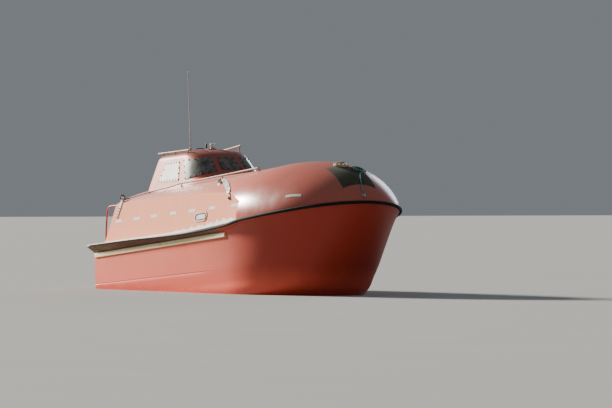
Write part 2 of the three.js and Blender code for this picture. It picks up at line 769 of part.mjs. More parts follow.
function sternRail() {
  const foot = [sternPipe.x, sternPipe.y, height(sheer, sternPipe.x) + ledge.plate + sternPipe.above];
  const pipe = solid(tube([foot, ...sternBends], sternPipe.radius, 14));
  const flangeTop = [foot[0], foot[1], foot[2] + sternPipe.flangeHigh];
  return geometryOf(pipe.add(solid(bar(foot, flangeTop, sternPipe.flange))).subtract(canopyBulk));
}
const sternRailStarboard = sternRail();
addNode("stern_rail_starboard", sternRailStarboard, redPipe);
addNode("stern_rail_port", mirrored(sternRailStarboard), redPipe);

// Forward lifting strap: bolted to the side panel, bent over its edge and up the whaleback's shoulder.
// Panel points are station and height, dome points are station and y; half is half the bar's width there.
const strap = {
  thick: 14,
  sunk: 12,
  boltRadius: 17,
  boltHigh: 20,
  onPanel: [{ x: 5245, z: 1484, half: 34 }, { x: 5205, z: 1545, half: 36 }],
  edge: { x: 5183, z: 1571, y: -1100, half: 37 },
  onDome: [
    { x: 5150, y: -1117, half: 38 },
    { x: 4900, y: -1026, half: 38 },
    { x: 4600, y: -916, half: 38 },
    { x: 4300, y: -806, half: 32 },
    { x: 4050, y: -715, half: 22 },
  ],
  eye: { x: 4400, y: -925, z: 1742, radius: 38, tube: 12 },
  pad: { from: 4362, to: 4438, outer: -950, inner: -840, high: 20, sunk: 15 },
};

const panelUp = new THREE.Vector3(0, -1, -panel.lean).normalize();
// Direction square to the whaleback at a plan position
const probe = 20;
function domeUp(x, y) {
  const alongSlope = domeAt(x - probe, y) - domeAt(x + probe, y);
  const acrossSlope = domeAt(x, y - probe) - domeAt(x, y + probe);
  return new THREE.Vector3(alongSlope, acrossSlope, 2 * probe).normalize();
}

function shoulderStrap() {
  const { edge, eye, pad } = strap;
  const line = [];
  for (const { x, z, half } of strap.onPanel) {
    line.push({ point: new THREE.Vector3(...onPanel(x, z, 0)), up: panelUp, half });
  }
  const edgeUp = panelUp.clone().add(domeUp(edge.x, edge.y)).normalize();
  line.push({ point: new THREE.Vector3(...onPanel(edge.x, edge.z, 0)), up: edgeUp, half: edge.half });
  for (const { x, y, half } of strap.onDome) {
    line.push({ point: new THREE.Vector3(x, y, domeAt(x, y)), up: domeUp(x, y), half });
  }
  const frames = line.map(({ point, up, half }, i) => {
    const along = line[Math.min(i + 1, line.length - 1)].point.clone().sub(line[Math.max(i - 1, 0)].point);
    const across = up.clone().cross(along).normalize();
    const at = (side, lift) => point.clone().addScaledVector(across, side).addScaledVector(up, lift).toArray();
    return { half, at };
  });
  const { thick, sunk } = strap;
  const rings = frames.map(({ half, at }) => [
    at(-half, -sunk),
    at(half, -sunk),
    at(half, thick),
    at(-half, thick),
  ]);
  const ring = new THREE.TorusGeometry(eye.radius, eye.tube, 8, 18).rotateX(Math.PI / 2);
  ring.translate(eye.x, eye.y, eye.z);
  const bolt = bar(frames[0].at(0, 0), frames[0].at(0, thick + strap.boltHigh), strap.boltRadius, 10);
  const padSection = [
    [pad.outer, -pad.sunk],
    [pad.inner, -pad.sunk],
    [pad.inner, pad.high],
    [pad.outer, pad.high],
  ];
  const padRings = [pad.from, pad.to].map((x) => padSection.map(([y, up]) => [x, y, domeAt(x, y) + up]));
  return geometryOf(joined(loft(rings), ring, bolt, loft(padRings)).subtract(canopyBulk));
}
const strapForward = shoulderStrap();
addNode("strap_forward_starboard", strapForward, white);
addNode("strap_forward_port", mirrored(strapForward), white);

// After lifting strap: a flat bar up the panel's after edge with its eye above the shoulder
const strapAftMake = {
  rows: [{ x: 772, z: 1150, half: 28 }, { x: 860, z: 1330, half: 44 }, { x: 905, z: 1420, half: 34 }],
  from: 2,
  to: 14,
  lug: [[872, 1395], [950, 1395], [936, 1499], [888, 1499]],
  lugFrom: -1072,
  lugTo: -1028,
  eye: { x: 912, y: -1050, z: 1486, radius: 36, tube: 10 },
};

function aftStrap() {
  const { rows, from, to, lug, lugFrom, lugTo, eye } = strapAftMake;
  const plate = loft(rows.map(({ x, z, half }) => [
    onPanel(x - half, z, from),
    onPanel(x + half, z, from),
    onPanel(x + half, z, to),
    onPanel(x - half, z, to),
  ]));
  const ring = new THREE.TorusGeometry(eye.radius, eye.tube, 8, 18).rotateY(Math.PI / 2);
  ring.translate(eye.x, eye.y, eye.z);
  return geometryOf(joined(prism(lug, byXZ, lugFrom, lugTo), ring, plate).subtract(canopyBulk));
}
const strapAft = aftStrap();
addNode("strap_aft_starboard", strapAft, white);
addNode("strap_aft_port", mirrored(strapAft), white);

// Bow bitt: a post on a round base, with a cross bar that leans a little
const bitt = {
  x: 6800,
  radius: 24,
  high: 62,
  bar: 62,
  barRadius: 11,
  barLow: 44,
  barHigh: 50,
  base: 55,
  baseHigh: 7,
  sunk: 30,
};
function bowBitt() {
  const z = domeAt(bitt.x, 0);
  const post = bar([bitt.x, 0, z - bitt.sunk], [bitt.x, 0, z + bitt.high], bitt.radius, 14);
  const ends = [[bitt.x, -bitt.bar, z + bitt.barLow], [bitt.x, bitt.bar, z + bitt.barHigh]];
  const cross = bar(ends[0], ends[1], bitt.barRadius, 10);
  const base = bar([bitt.x, 0, z - bitt.sunk], [bitt.x, 0, z + bitt.baseHigh], bitt.base, 16);
  return geometryOf(joined(post, cross, base).subtract(canopyBulk));
}
addNode("bow_bitt", bowBitt(), orange);

const bowEye = { x: 7608, z: 1535, radius: 34, tube: 8, plate: 34, plateFrom: 7530, plateTo: 7596 };
function eyeBolt() {
  const ring = new THREE.TorusGeometry(bowEye.radius, bowEye.tube, 8, 18).rotateX(Math.PI / 2);
  const plate = bar([bowEye.plateFrom, 0, bowEye.z], [bowEye.plateTo, 0, bowEye.z], bowEye.plate, 12);
  return geometryOf(joined(ring.translate(bowEye.x, 0, bowEye.z), plate).subtract(canopyBulk));
}
addNode("bow_eye", eyeBolt(), steel);

// Roof gear
const antenna = {
  foot: [2020, -350],
  footFrom: 2120,
  footTo: 2290,
  footRadius: 20,
  whipFrom: 2270,
  top: 3510,
  aft: 60,
  out: 22,
  whip: 10,
  tip: 6,
};
function whipAntenna() {
  const [x, y] = antenna.foot;
  const foot = bar([x, y, antenna.footFrom], [x, y, antenna.footTo], antenna.footRadius, 12);
  const tip = [x - antenna.aft, y - antenna.out, antenna.top];
  const whip = bar([x, y, antenna.whipFrom], tip, antenna.whip, 8, antenna.tip);
  return geometryOf(joined(foot, whip).subtract(towerBulk));
}
addNode("antenna", whipAntenna(), grey);

// Lamp on a plate with a short post beside it; its profile is radius by height
const lampMake = {
  profile: [[0, 0], [34, 0], [30, 36], [43, 38], [43, 96], [36, 108], [0, 112]],
  x: 2090,
  z: 2240,
  plate: [1960, 2140, -80, 50, 2240, 2266],
  post: { x: 1990, y: -60, from: 2200, to: 2352, radius: 14 },
};
function beaconLight() {
  const profile = lampMake.profile.map(([r, z]) => new THREE.Vector2(r, z));
  const lamp = new THREE.LatheGeometry(profile, 16).rotateX(Math.PI / 2).translate(lampMake.x, 0, lampMake.z);
  const { x, y, from, to, radius } = lampMake.post;
  const post = bar([x, y, from], [x, y, to], radius, 10);
  const plate = block(...lampMake.plate);
  return geometryOf(joined(lamp, post, plate).subtract(towerBulk));
}
addNode("beacon", beaconLight(), white);

// Stern gear

const shaft = { z: -700, propX: 270, radius: 22, end: 860 };
const keelFoot = -960;
const nozzle = { inner: 212, outer: 238, half: 135, stock: 24, lap: 220, foot: 10, head: 3 };
const skeg = {
  outline: [[640, -300], [3600, -300], [3600, -700], [3300, keelFoot], [640, keelFoot]],
  half: 35,
  boss: { from: 560, to: 900, radius: 52 },
  bore: { from: 400, to: 880, gap: 2 },
  heel: { from: 190, to: 700, half: 30, below: 30, above: 8 },
};
const hub = { from: 215, to: 340, radius: 40, radiusTo: 46, shaftFrom: 330, capFrom: 165, capTo: 216, cap: 12 };

function skegKeel() {
  const { outline, half, boss, bore, heel } = skeg;
  const fin = prism(outline, byXZ, -half, half);
  const tubeRound = bar([boss.from, 0, shaft.z], [boss.to, 0, shaft.z], boss.radius, 16);
  const shoe = block(heel.from, heel.to, -heel.half, heel.half, keelFoot - heel.below, keelFoot + heel.above);
  const hole = bar([bore.from, 0, shaft.z], [bore.to, 0, shaft.z], shaft.radius + bore.gap, 16);
  return geometryOf(joined(fin, tubeRound, shoe).subtract(solid(hole)).subtract(hullBulk));
}
addNode("skeg", skegKeel(), orange);

const blade = {
  rows: [
    { r: 30, chord: 90, pitch: 0.9 },
    { r: 100, chord: 150, pitch: 0.62 },
    { r: 160, chord: 150, pitch: 0.45 },
    { r: 190, chord: 90, pitch: 0.38 },
  ],
  thick: 7,
};

function bladeSolid(angle) {
  const rings = [];
  for (const { r, chord, pitch } of blade.rows) {
    const [across, ahead] = [Math.cos(pitch), Math.sin(pitch)];
    rings.push(
      [[-0.5, 0], [0, blade.thick], [0.5, 0], [0, -blade.thick]].map(([c, t]) => [
        shaft.propX + c * chord * ahead + t * across,
        c * chord * across - t * ahead,
        r,
      ]),
    );
  }
  return loft(rings).rotateX(angle);
}

function propellerSolid() {
  let screw = solid(bar([hub.from, 0, 0], [hub.to, 0, 0], hub.radiusTo, 16, hub.radius));
  screw = screw.add(solid(bar([hub.shaftFrom, 0, 0], [shaft.end, 0, 0], shaft.radius, 12)));
  screw = screw.add(solid(bar([hub.capFrom, 0, 0], [hub.capTo, 0, 0], hub.cap, 16, hub.radiusTo)));
  for (const turn of [0, 1, 2, 3]) screw = screw.add(solid(bladeSolid((turn * Math.PI) / 2)));
  return geometryOf(screw).translate(0, 0, shaft.z);
}
addNode("propeller", propellerSolid(), brass);

function steeringNozzle() {
  const half = nozzle.half;
  const profile = [
    [nozzle.inner, -half],
    [nozzle.outer - 12, -half],
    [nozzle.outer, half * 0.3],
    [nozzle.outer, half],
    [nozzle.inner + 8, half],
    [nozzle.inner, half * 0.4],
    [nozzle.inner, -half],
  ].map(([r, x]) => new THREE.Vector2(r, x));
  const ring = new THREE.LatheGeometry(profile, 24).rotateZ(-Math.PI / 2).translate(shaft.propX, 0, shaft.z);
  const hullFoot = height(hullLevels[0], shaft.propX);
  const [low, high] = [keelFoot + nozzle.foot, hullFoot - nozzle.head];
  const stock = bar([shaft.propX, 0, shaft.z + nozzle.lap], [shaft.propX, 0, high], nozzle.stock, 12);
  const pintle = bar([shaft.propX, 0, low], [shaft.propX, 0, shaft.z - nozzle.lap], nozzle.stock, 12);
  return geometryOf(joined(ring, stock, pintle).subtract(hullBulk));
}
addNode("steering_nozzle", steeringNozzle(), orange);

// Cabin

const floorZ = 20;
const casing = { from: 1000, to: 2700, half: 460, top: 620, wall: 25 };
const floorPlan = { from: 100, to: 5900, half: 1300, thick: 30, gap: 2 };
const belowFloor = -400;
const cabinSpace = solid(hullInner(hullThickness + restGap));
function casingBlock(grow, low, high) {
  const half = casing.half + grow;
  return solid(block(casing.from - grow, casing.to + grow, -half, half, low, high));
}
const floorTop = floorZ + floorPlan.thick;
const wideFloor = block(floorPlan.from, floorPlan.to, -floorPlan.half, floorPlan.half, floorZ, floorTop);
const casingHole = casingBlock(floorPlan.gap, belowFloor, casing.top);
addNode("cabin_floor", geometryOf(solid(wideFloor).intersect(cabinSpace).subtract(casingHole)), grey);

const casingSpace = casingBlock(-casing.wall, belowFloor, casing.top - casing.wall);
addNode("engine_casing", geometryOf(casingBlock(0, floorZ, casing.top).subtract(casingSpace)), white);

const engine = { from: 1250, to: 2050, half: 270, bottom: -380, top: 420 };
const engineBlock = solid(block(engine.from, engine.to, -engine.half, engine.half, engine.bottom, engine.top));
const bearer = { past: 80, y: 200, half: 30, low: -478, lap: 10 };
const bearers = [-1, 1].map((side) => {
  const middle = side * bearer.y;
  const [from, to] = [engine.from - bearer.past, engine.to + bearer.past];
  const top = engine.bottom + bearer.lap;
  return solid(block(from, to, middle - bearer.half, middle + bearer.half, bearer.low, top));
});
const hullWall = hullBulk.subtract(cabinSpace);
addNode("engine", geometryOf(engineBlock.add(bearers[0]).add(bearers[1]).subtract(hullWall)), dark);

const bench = { from: 2760, to: 5000, inner: 560, outer: 960, top: 470 };
const benchLow = floorTop + restGap;
addNode("bench_starboard", block(bench.from, bench.to, -bench.outer, -bench.inner, benchLow, bench.top), white);
addNode("bench_port", block(bench.from, bench.to, bench.inner, bench.outer, benchLow, bench.top), white);

// Helm seat on a post over the engine casing
const seat = {
  post: { x: 1480, radius: 55, to: 1140 },
  cushion: [1300, 1730, -220, 220, 1110, 1200],
  back: [1230, 1310, -210, 210, 1140, 1720],
};
const seatFoot = [seat.post.x, 0, casing.top + restGap];
const seatPost = bar(seatFoot, [seat.post.x, 0, seat.post.to], seat.post.radius, 14);
const seatSolid = joined(seatPost, block(...seat.cushion), block(...seat.back));
addNode("helm_seat", geometryOf(seatSolid), dark);

const wheel = { x: 2060, z: 1450, radius: 170, tube: 13, tilt: 0.5, hub: 34, hubLong: 40, spoke: 9 };
const wheelAxis = [-Math.cos(wheel.tilt), 0, Math.sin(wheel.tilt)];
const consoleFoot = casing.top + restGap;
const consoleOutline = [[2130, consoleFoot], [2560, consoleFoot], [2560, 1400], [2400, 1520], [2230, 1430]];
const consoleHalf = 380;
const column = { from: 210, to: 26, radius: 24 };
const onWheelAxis = (back) => [wheel.x - wheelAxis[0] * back, 0, wheel.z - wheelAxis[2] * back];
const consoleBody = prism(consoleOutline, byXZ, -consoleHalf, consoleHalf);
const columnBar = bar(onWheelAxis(column.from), onWheelAxis(column.to), column.radius, 12);
addNode("helm_console", geometryOf(joined(consoleBody, columnBar)), grey);

function steeringWheel() {
  const rim = new THREE.TorusGeometry(wheel.radius, wheel.tube, 6, 20);
  const hub = new THREE.CylinderGeometry(wheel.hub, wheel.hub, wheel.hubLong, 14).rotateX(Math.PI / 2);
  let all = solid(rim).add(solid(hub));
  for (const turn of [0, 1, 2]) {
    const spoke = bar([0, 0, 0], [wheel.radius, 0, 0], wheel.spoke, 6);
    all = all.add(solid(spoke.rotateZ((turn * 2 * Math.PI) / 3 + Math.PI)));
  }
  const axis = new THREE.Vector3(...wheelAxis);
  const face = new THREE.Quaternion().setFromUnitVectors(new THREE.Vector3(0, 0, 1), axis);
  return geometryOf(all).applyQuaternion(face).translate(wheel.x, 0, wheel.z);
}
addNode("steering_wheel", steeringWheel(), black);

// Ropes on the bow: a cream painter and a teal line, each a loose coil with a run

const rope = { radius: 8, coilRadius: 92, coilWide: 52, coilHigh: 36, lift: 3 };

// Outer shape of a rope coil that lies on the whaleback
function coilSolid(x, y) {
  const [inner, outer] = [rope.coilRadius - rope.coilWide / 2, rope.coilRadius + rope.coilWide / 2];
  const profile = [[inner, 0], [outer, 0], [outer, rope.coilHigh], [inner, rope.coilHigh], [inner, 0]];
  const points = profile.map(([r, z]) => new THREE.Vector2(r, z));
  const ring = new THREE.LatheGeometry(points, 20).rotateX(Math.PI / 2);
  const reach = rope.coilRadius - 2;
  const slope = new THREE.Vector3(
    -(domeAt(x + reach, y) - domeAt(x - reach, y)) / (2 * reach),
    -(domeAt(x, y + reach) - domeAt(x, y - reach)) / (2 * reach),
    1,
  ).normalize();
  ring.applyQuaternion(new THREE.Quaternion().setFromUnitVectors(new THREE.Vector3(0, 0, 1), slope));
  return ring.translate(x, y, domeAt(x, y) + rope.lift);
}
const coils = [
  { name: "painter_coil", x: 6800, y: 0, material: ropeCream },
  { name: "bow_line_coil", x: 6960, y: 215, material: ropeTeal },
];
for (const { name, x, y, material } of coils) {
  addNode(name, geometryOf(solid(coilSolid(x, y)).subtract(canopyBulk)), material);
}

// Bow line's run from its coil to the eye, by station and y
const bowLinePlan = [
  [7075, 190],
  [7140, 160],
  [7220, 120],
  [7310, 80],
  [7400, 45],
  [7470, 20],
  [7520, 8],
  [7560, 2],
];
const bowLine = solid(tube(bowLinePlan.map((p) => overDome(p, rope.radius + rope.lift)), rope.radius, 22, 8));
addNode("bow_line_run", geometryOf(bowLine.subtract(canopyBulk).subtract(solid(eyeBolt()))), ropeTeal);

export default new THREE.Group().add(boat);
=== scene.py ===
# Looks of a totally enclosed lifeboat afloat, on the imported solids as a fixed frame.
# Metres, +X to the bow, +Y to port, z = 0 at the waterline. Shapes are drawn in millimetres, with
# stations counted forward from the transom, and go into the frame through the function place.
import math

import bmesh
import bpy
from mathutils import Matrix, Vector
from mathutils.bvhtree import BVHTree


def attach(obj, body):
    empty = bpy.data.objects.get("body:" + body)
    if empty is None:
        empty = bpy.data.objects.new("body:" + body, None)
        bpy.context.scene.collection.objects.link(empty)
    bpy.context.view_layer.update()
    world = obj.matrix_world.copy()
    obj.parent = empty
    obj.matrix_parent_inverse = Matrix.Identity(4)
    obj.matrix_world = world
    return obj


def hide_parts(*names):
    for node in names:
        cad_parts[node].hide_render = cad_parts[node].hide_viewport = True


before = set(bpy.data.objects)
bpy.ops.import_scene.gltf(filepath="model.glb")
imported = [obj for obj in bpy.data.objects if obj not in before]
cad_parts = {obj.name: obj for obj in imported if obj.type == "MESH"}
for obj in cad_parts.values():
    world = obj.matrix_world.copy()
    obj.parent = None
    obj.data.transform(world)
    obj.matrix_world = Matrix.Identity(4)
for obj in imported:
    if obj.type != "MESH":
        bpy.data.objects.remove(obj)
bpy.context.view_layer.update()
scene = bpy.context.scene
midStation = 3800

# Camera: low over the water, 25 degrees off the bow to starboard, far away with a long lens
cameraLook = {"heading": 25, "distance": 88, "eyeHeight": 1.67, "lens": 329.4, "aim": (0.3214, 0.6893, 1.387)}
heading = math.radians(cameraLook["heading"])
camera = bpy.data.objects.new("camera", bpy.data.cameras.new("camera"))
scene.collection.objects.link(camera)
camera.location = (
    cameraLook["distance"] * math.cos(heading),
    -cameraLook["distance"] * math.sin(heading),
    cameraLook["eyeHeight"],
)
camera.rotation_euler = (Vector(cameraLook["aim"]) - camera.location).to_track_quat("-Z", "Y").to_euler()
camera.data.lens = cameraLook["lens"]
camera.data.sensor_width = 36
camera.data.clip_end = 400
scene.camera = camera


# Meshes

def place(point):
    return Vector(((point[0] - midStation) / 1000, point[1] / 1000, point[2] / 1000))


def meshFrom(name, points, faces):
    mesh = bpy.data.meshes.new(name)
    mesh.from_pydata([tuple(p) for p in points], [], faces)
    shape = bmesh.new()
    shape.from_mesh(mesh)
    bmesh.ops.remove_doubles(shape, verts=shape.verts, dist=1e-5)
    bmesh.ops.recalc_face_normals(shape, faces=shape.faces)
    shape.to_mesh(mesh)
    shape.free()
    obj = bpy.data.objects.new(name, mesh)
    scene.collection.objects.link(obj)
    return obj


# Rings of points in millimetres joined into one skin. Ends: "strip" for a ring that is the same to port
# and starboard, "fan" for any other ring, "loop" where the last ring meets the first
def loft(name, rings, ends="strip"):
    count = len(rings[0])
    points = [place(p) for ring in rings for p in ring]
    faces = []
    last = len(rings) if ends == "loop" else len(rings) - 1
    for k in range(last):
        a, b = k * count, ((k + 1) % len(rings)) * count
        for i in range(count):
            j = (i + 1) % count
            faces.append((a + i, a + j, b + j, b + i))
    for start in (0, (len(rings) - 1) * count):
        if ends == "strip":
            for i in range(count // 2):
                quad = [start + i, start + i + 1, start + count - 2 - i, start + count - 1 - i]
                if quad[1] == quad[2]:
                    quad.pop(2)
                if len(set(quad)) > 2:
                    faces.append(tuple(quad))
        elif ends == "fan":
            faces.append(tuple(range(start, start + count)))
    return meshFrom(name, points, faces)


def finishPiece(obj, material, body="boat", slot=None, replaces=(), sharp=32, bevel=None):
    if bevel:
        edge = obj.modifiers.new("edges", "BEVEL")
        edge.width, edge.segments = bevel
        edge.limit_method, edge.angle_limit = "ANGLE", math.radians(sharp)
    if obj.type == "MESH":
        obj.data.shade_smooth()
        obj.data.set_sharp_from_angle(angle=math.radians(sharp))
    obj.data.materials.clear()
    obj.data.materials.append(material)
    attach(obj, body)
    if replaces:
        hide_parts(*replaces)
    return obj


def joinPieces(name, objs):
    shape = bmesh.new()
    for obj in objs:
        shape.from_mesh(obj.data)
    mesh = bpy.data.meshes.new(name)
    shape.to_mesh(mesh)
    shape.free()
    for obj in objs:
        bpy.data.objects.remove(obj)
    joined = bpy.data.objects.new(name, mesh)
    scene.collection.objects.link(joined)
    return joined


def finishParts(name, parts, material, **rest):
    finishPiece(joinPieces(name, parts), material, **rest)


def mirrorCopy(obj, name):
    other = bpy.data.objects.new(name, obj.data.copy())
    scene.collection.objects.link(other)
    other.data.transform(Matrix.Scale(-1, 4, (0, 1, 0)))
    other.data.flip_normals()
    return other


def carve(obj, cutters, operation="DIFFERENCE"):
    for cutter in cutters:
        cut = obj.modifiers.new("cut", "BOOLEAN")
        cut.operation, cut.object, cut.solver = operation, cutter, "MANIFOLD"
    mesh = bpy.data.meshes.new_from_object(obj.evaluated_get(bpy.context.evaluated_depsgraph_get()))
    obj.modifiers.clear()
    obj.data = mesh
    for cutter in cutters:
        bpy.data.objects.remove(cutter)
    return obj


def smoothLine(points, steps):
    line = []
    for i in range(len(points) - 1):
        a, b, c, d = (Vector(points[min(max(i + k, 0), len(points) - 1)]) for k in (-1, 0, 1, 2))
        for s in range(steps):
            t = s / steps
            point = 2 * b + (c - a) * t
            point += (2 * a - 5 * b + 4 * c - d) * t**2
            point += (3 * b - a - 3 * c + d) * t**3
            line.append(0.5 * point)
    line.append(Vector(points[-1]))
    return line


# Frames along a line: each is its point, its way on and two directions across
def framesAlong(line, firstAcross=(0, 0, 1)):
    frames, side = [], Vector(firstAcross)
    for i, point in enumerate(line):
        way = (Vector(line[min(i + 1, len(line) - 1)]) - Vector(line[max(i - 1, 0)])).normalized()
        side = (side - way * side.dot(way)).normalized()
        frames.append((Vector(point), way, side, way.cross(side)))
    return frames


def circle(sides):
    return [(math.cos(2 * math.pi * i / sides), math.sin(2 * math.pi * i / sides)) for i in range(sides)]


# Pipe along a line, its ends drawn in to a small round cap
def tube(name, line, radius, sides=12, capOut=0.6, capShare=0.5):
    rings = []
    frames = framesAlong(line)
    for k, (point, way, side, other) in enumerate(frames):
        size = radius(k / (len(line) - 1)) if callable(radius) else radius
        around = [(side * c + other * s) * size for c, s in circle(sides)]
        if k == 0:
            rings.append([point - way * size * capOut + out * capShare for out in around])
        rings.append([point + out for out in around])
        if k == len(frames) - 1:
            rings.append([point + way * size * capOut + out * capShare for out in around])
    return loft(name, rings, ends="fan")


# Turned part: a profile of (radius, distance along) spun about a line from a foot
def turned(name, foot, way, profile, sides=20):
    way = Vector(way).normalized()
    side = way.orthogonal().normalized()
    other = way.cross(side)
    rings = []
    for radius, along in profile:
        centre = Vector(foot) + way * along
        rings.append([centre + (side * c + other * s) * radius for c, s in circle(sides)])
    return loft(name, rings, ends="fan")


# Flat outline pushed through: at turns its a, b and a depth into a point
def prism(name, outline, at, near, far):
    return loft(name, [[at(a, b, depth) for a, b in outline] for depth in (near, far)], ends="fan")


# Ring of round section round a centre, with its axis along a direction
def ringPiece(name, centre, axis, radius, thick, turns=40, sides=12):
    axis = Vector(axis).normalized()
    side = axis.orthogonal().normalized()
    other = axis.cross(side)
    rings = []
    for ahead, across in circle(turns):
        out = side * ahead + other * across
        rings.append([
            Vector(centre) + out * (radius + thick * c) + axis * thick * s for c, s in circle(sides)
        ])
    return loft(name, rings, ends="loop")


# Lines of the hull and the whaleback, the same as in the solids

def height(line, x):
    bent = line["z0"] + line["rise"] * x / 1000 + line["curl"] * x**2 / 1e6
    return bent + line.get("spring", 0) * x**3 / 1e9


# Levels from the keel over the deadrise, bilge, turn, knuckle and skid strip to the sheer
hullColumns = ("z0", "rise", "curl", "transom", "beam", "centre", "reach", "late")
hullRows = [
    (-400, -131, 22.2, 60, 70, 4600, 1300, 1),
    (-335, -108, 20.5, 560, 620, 4800, 1550, 1),
    (-215, 15, 4.4, 990, 1020, 4950, 1760, 1),
    (-70, 36, 3.3, 1095, 1090, 5060, 1860, 1),
    (82, 62.3, 0, 1138, 1135, 5150, 1900, 1),
    (575, 74, 0, 1150, 1215, 5350, 2130, 1.5),
    (699, 68.5, -5, 1158, 1290, 5450, 2170, 1.5),
]
hullLevels = [dict(zip(hullColumns, row)) for row in hullRows]
sheer = hullLevels[6]
sheer["spring"] = 1.12
stripTop = hullLevels[5]
canopyBeam = 1290
crown = {"z0": 1561.2, "rise": 157.3, "curl": -29.3, "spring": 2.9}
aftFace = {"foot": 350, "footZ": 725, "lean": 0.5, "slant": 1.12}
shoulder = {
    "fromX": 700, "toX": 6500, "late": 5, "roundFrom": 1.44, "roundTo": 2.32,
    "dropFrom": 0.27, "dropTo": 0.651,
}
panel = {"out": 1201.2, "along": 0.0226, "lean": 0.117}
recess = {
    "from": -400, "low": 200, "out": 2200, "end": 5750, "endZ": 1440, "slantX": 5290, "slantZ": 1575,
    "topX": 4300, "topZ": 1760,
}
ledge = {
    "edge": 1285, "bulge": 22, "run": 5750, "top": 14, "bottom": -26, "plate": 27, "taperFrom": 5150,
    "drop": 30, "sagFrom": 1800, "sagFull": 4200, "riseFrom": 5400, "riseTo": 5950, "overSheer": 4,
}


def halfBreadth(level, x):
    along = min(max(x / level["centre"], 0), 1)
    wide = ((1 - math.cos(math.pi * along)) / 2) ** level["late"]
    return level["transom"] + (level["beam"] - level["transom"]) * wide


def bothSides(side):
    return side + [(x, -y, z) for x, y, z in reversed(side[:-1])]


def hullRing(level, inset, sternSteps, bowSteps, lift=0):
    side = []
    for i in range(sternSteps):
        x = inset + (level["centre"] - inset) * i / sternSteps
        side.append((x, inset - halfBreadth(level, x), height(level, x) + lift))
    for i in range(bowSteps + 1):
        turn = math.pi / 2 * i / bowSteps
        x = level["centre"] + (level["reach"] - inset) * math.sin(turn)
        side.append((x, min(inset - level["beam"], -1) * math.cos(turn), height(level, x) + lift))
    side[-1] = (side[-1][0], 0, side[-1][2])
    return bothSides(side)


def hullSide(x, z):
    upper = next(i for i, level in enumerate(hullLevels) if height(level, x) >= z or i == 6)
    above, below = hullLevels[max(upper, 1)], hullLevels[max(upper, 1) - 1]
    share = (z - height(below, x)) / (height(above, x) - height(below, x))
    return halfBreadth(below, x) + (halfBreadth(above, x) - halfBreadth(below, x)) * share


def domeHeight(scale, x, inset=0):
    ahead = min(max((x - shoulder["fromX"]) / (shoulder["toX"] - shoulder["fromX"]), 0), 1)
    along = ahead ** shoulder["late"]
    rounded = shoulder["roundFrom"] + (shoulder["roundTo"] - shoulder["roundFrom"]) * along
    drop = shoulder["dropFrom"] + (shoulder["dropTo"] - shoulder["dropFrom"]) * along
    foot = height(sheer, x)
    return foot + (height(crown, x) - inset - foot) * (1 - min(scale, 1) ** rounded) ** drop


def domeAt(x, y):
    return domeHeight(math.hypot(max(x - sheer["centre"], 0) / sheer["reach"], y / canopyBeam), x)


def domeUp(x, y, step=15):
    slope = domeAt(x - step, y) - domeAt(x + step, y), domeAt(x, y - step) - domeAt(x, y + step)
    return Vector((*slope, 2 * step)).normalized()


def overDome(x, y, up):
    return Vector((x, y, domeAt(x, y))) + domeUp(x, y) * up


def panelOut(x, z):
    return panel["out"] + panel["along"] * x - panel["lean"] * z


# Point outboard of the starboard panel at a station and height, at a depth out from its face
def onPanel(x, z, depth):
    return (x, -panelOut(x, z) - depth, z)


def sheerHalf(x):
    ahead = max(x - sheer["centre"], 0) / sheer["reach"]
    return sheer["beam"] * math.sqrt(max(1 - ahead * ahead, 0)) if ahead > 0 else halfBreadth(sheer, x)


def ledgeEdge(x):
    bulged = ledge["edge"] + ledge["bulge"] * math.sin(math.pi * x / ledge["run"])
    return max(bulged, sheerHalf(x) + ledge["overSheer"])


def smoothStep(x, low, high):
    t = min(max((x - low) / (high - low), 0), 1)
    return t * t * (3 - 2 * t)


# How far the ledge's outer edge sags below the sheer ahead of amidships
def edgeDrop(x):
    sag = smoothStep(x, ledge["sagFrom"], ledge["sagFull"])
    return ledge["drop"] * (sag - smoothStep(x, ledge["riseFrom"], ledge["riseTo"]))


leanAngle = math.atan(aftFace["lean"])
slopeUp = (math.sin(leanAngle), math.cos(leanAngle))
slopeOut = (-math.cos(leanAngle), math.sin(leanAngle))


# Point of the aft face: y across, s up its slope, n outwards from it
def onAftFace(y, s, n):
    return (
        aftFace["foot"] + slopeUp[0] * s + slopeOut[0] * n,
        y,
        aftFace["footZ"] + slopeUp[1] * s + slopeOut[1] * n,
    )


# Shader maths: an expression on wires adds its Math nodes

class Wire:
    def __init__(self, paint, socket):
        self.paint, self.socket = paint, socket

    def maths(self, operation, first, second=0.0):
        return self.paint.node("ShaderNodeMath", {"operation": operation}, {0: first, 1: second})

    def __add__(self, other):
        return self.maths("ADD", self, other)

    def __sub__(self, other):
        return self.maths("SUBTRACT", self, other)

    def __rsub__(self, other):
        return self.maths("SUBTRACT", other, self)

    def __mul__(self, other):
        return self.maths("MULTIPLY", self, other)

    def least(self, other):
        return self.maths("MINIMUM", self, other)

    def most(self, other):
        return self.maths("MAXIMUM", self, other)

    __radd__ = __add__
    __rmul__ = __mul__


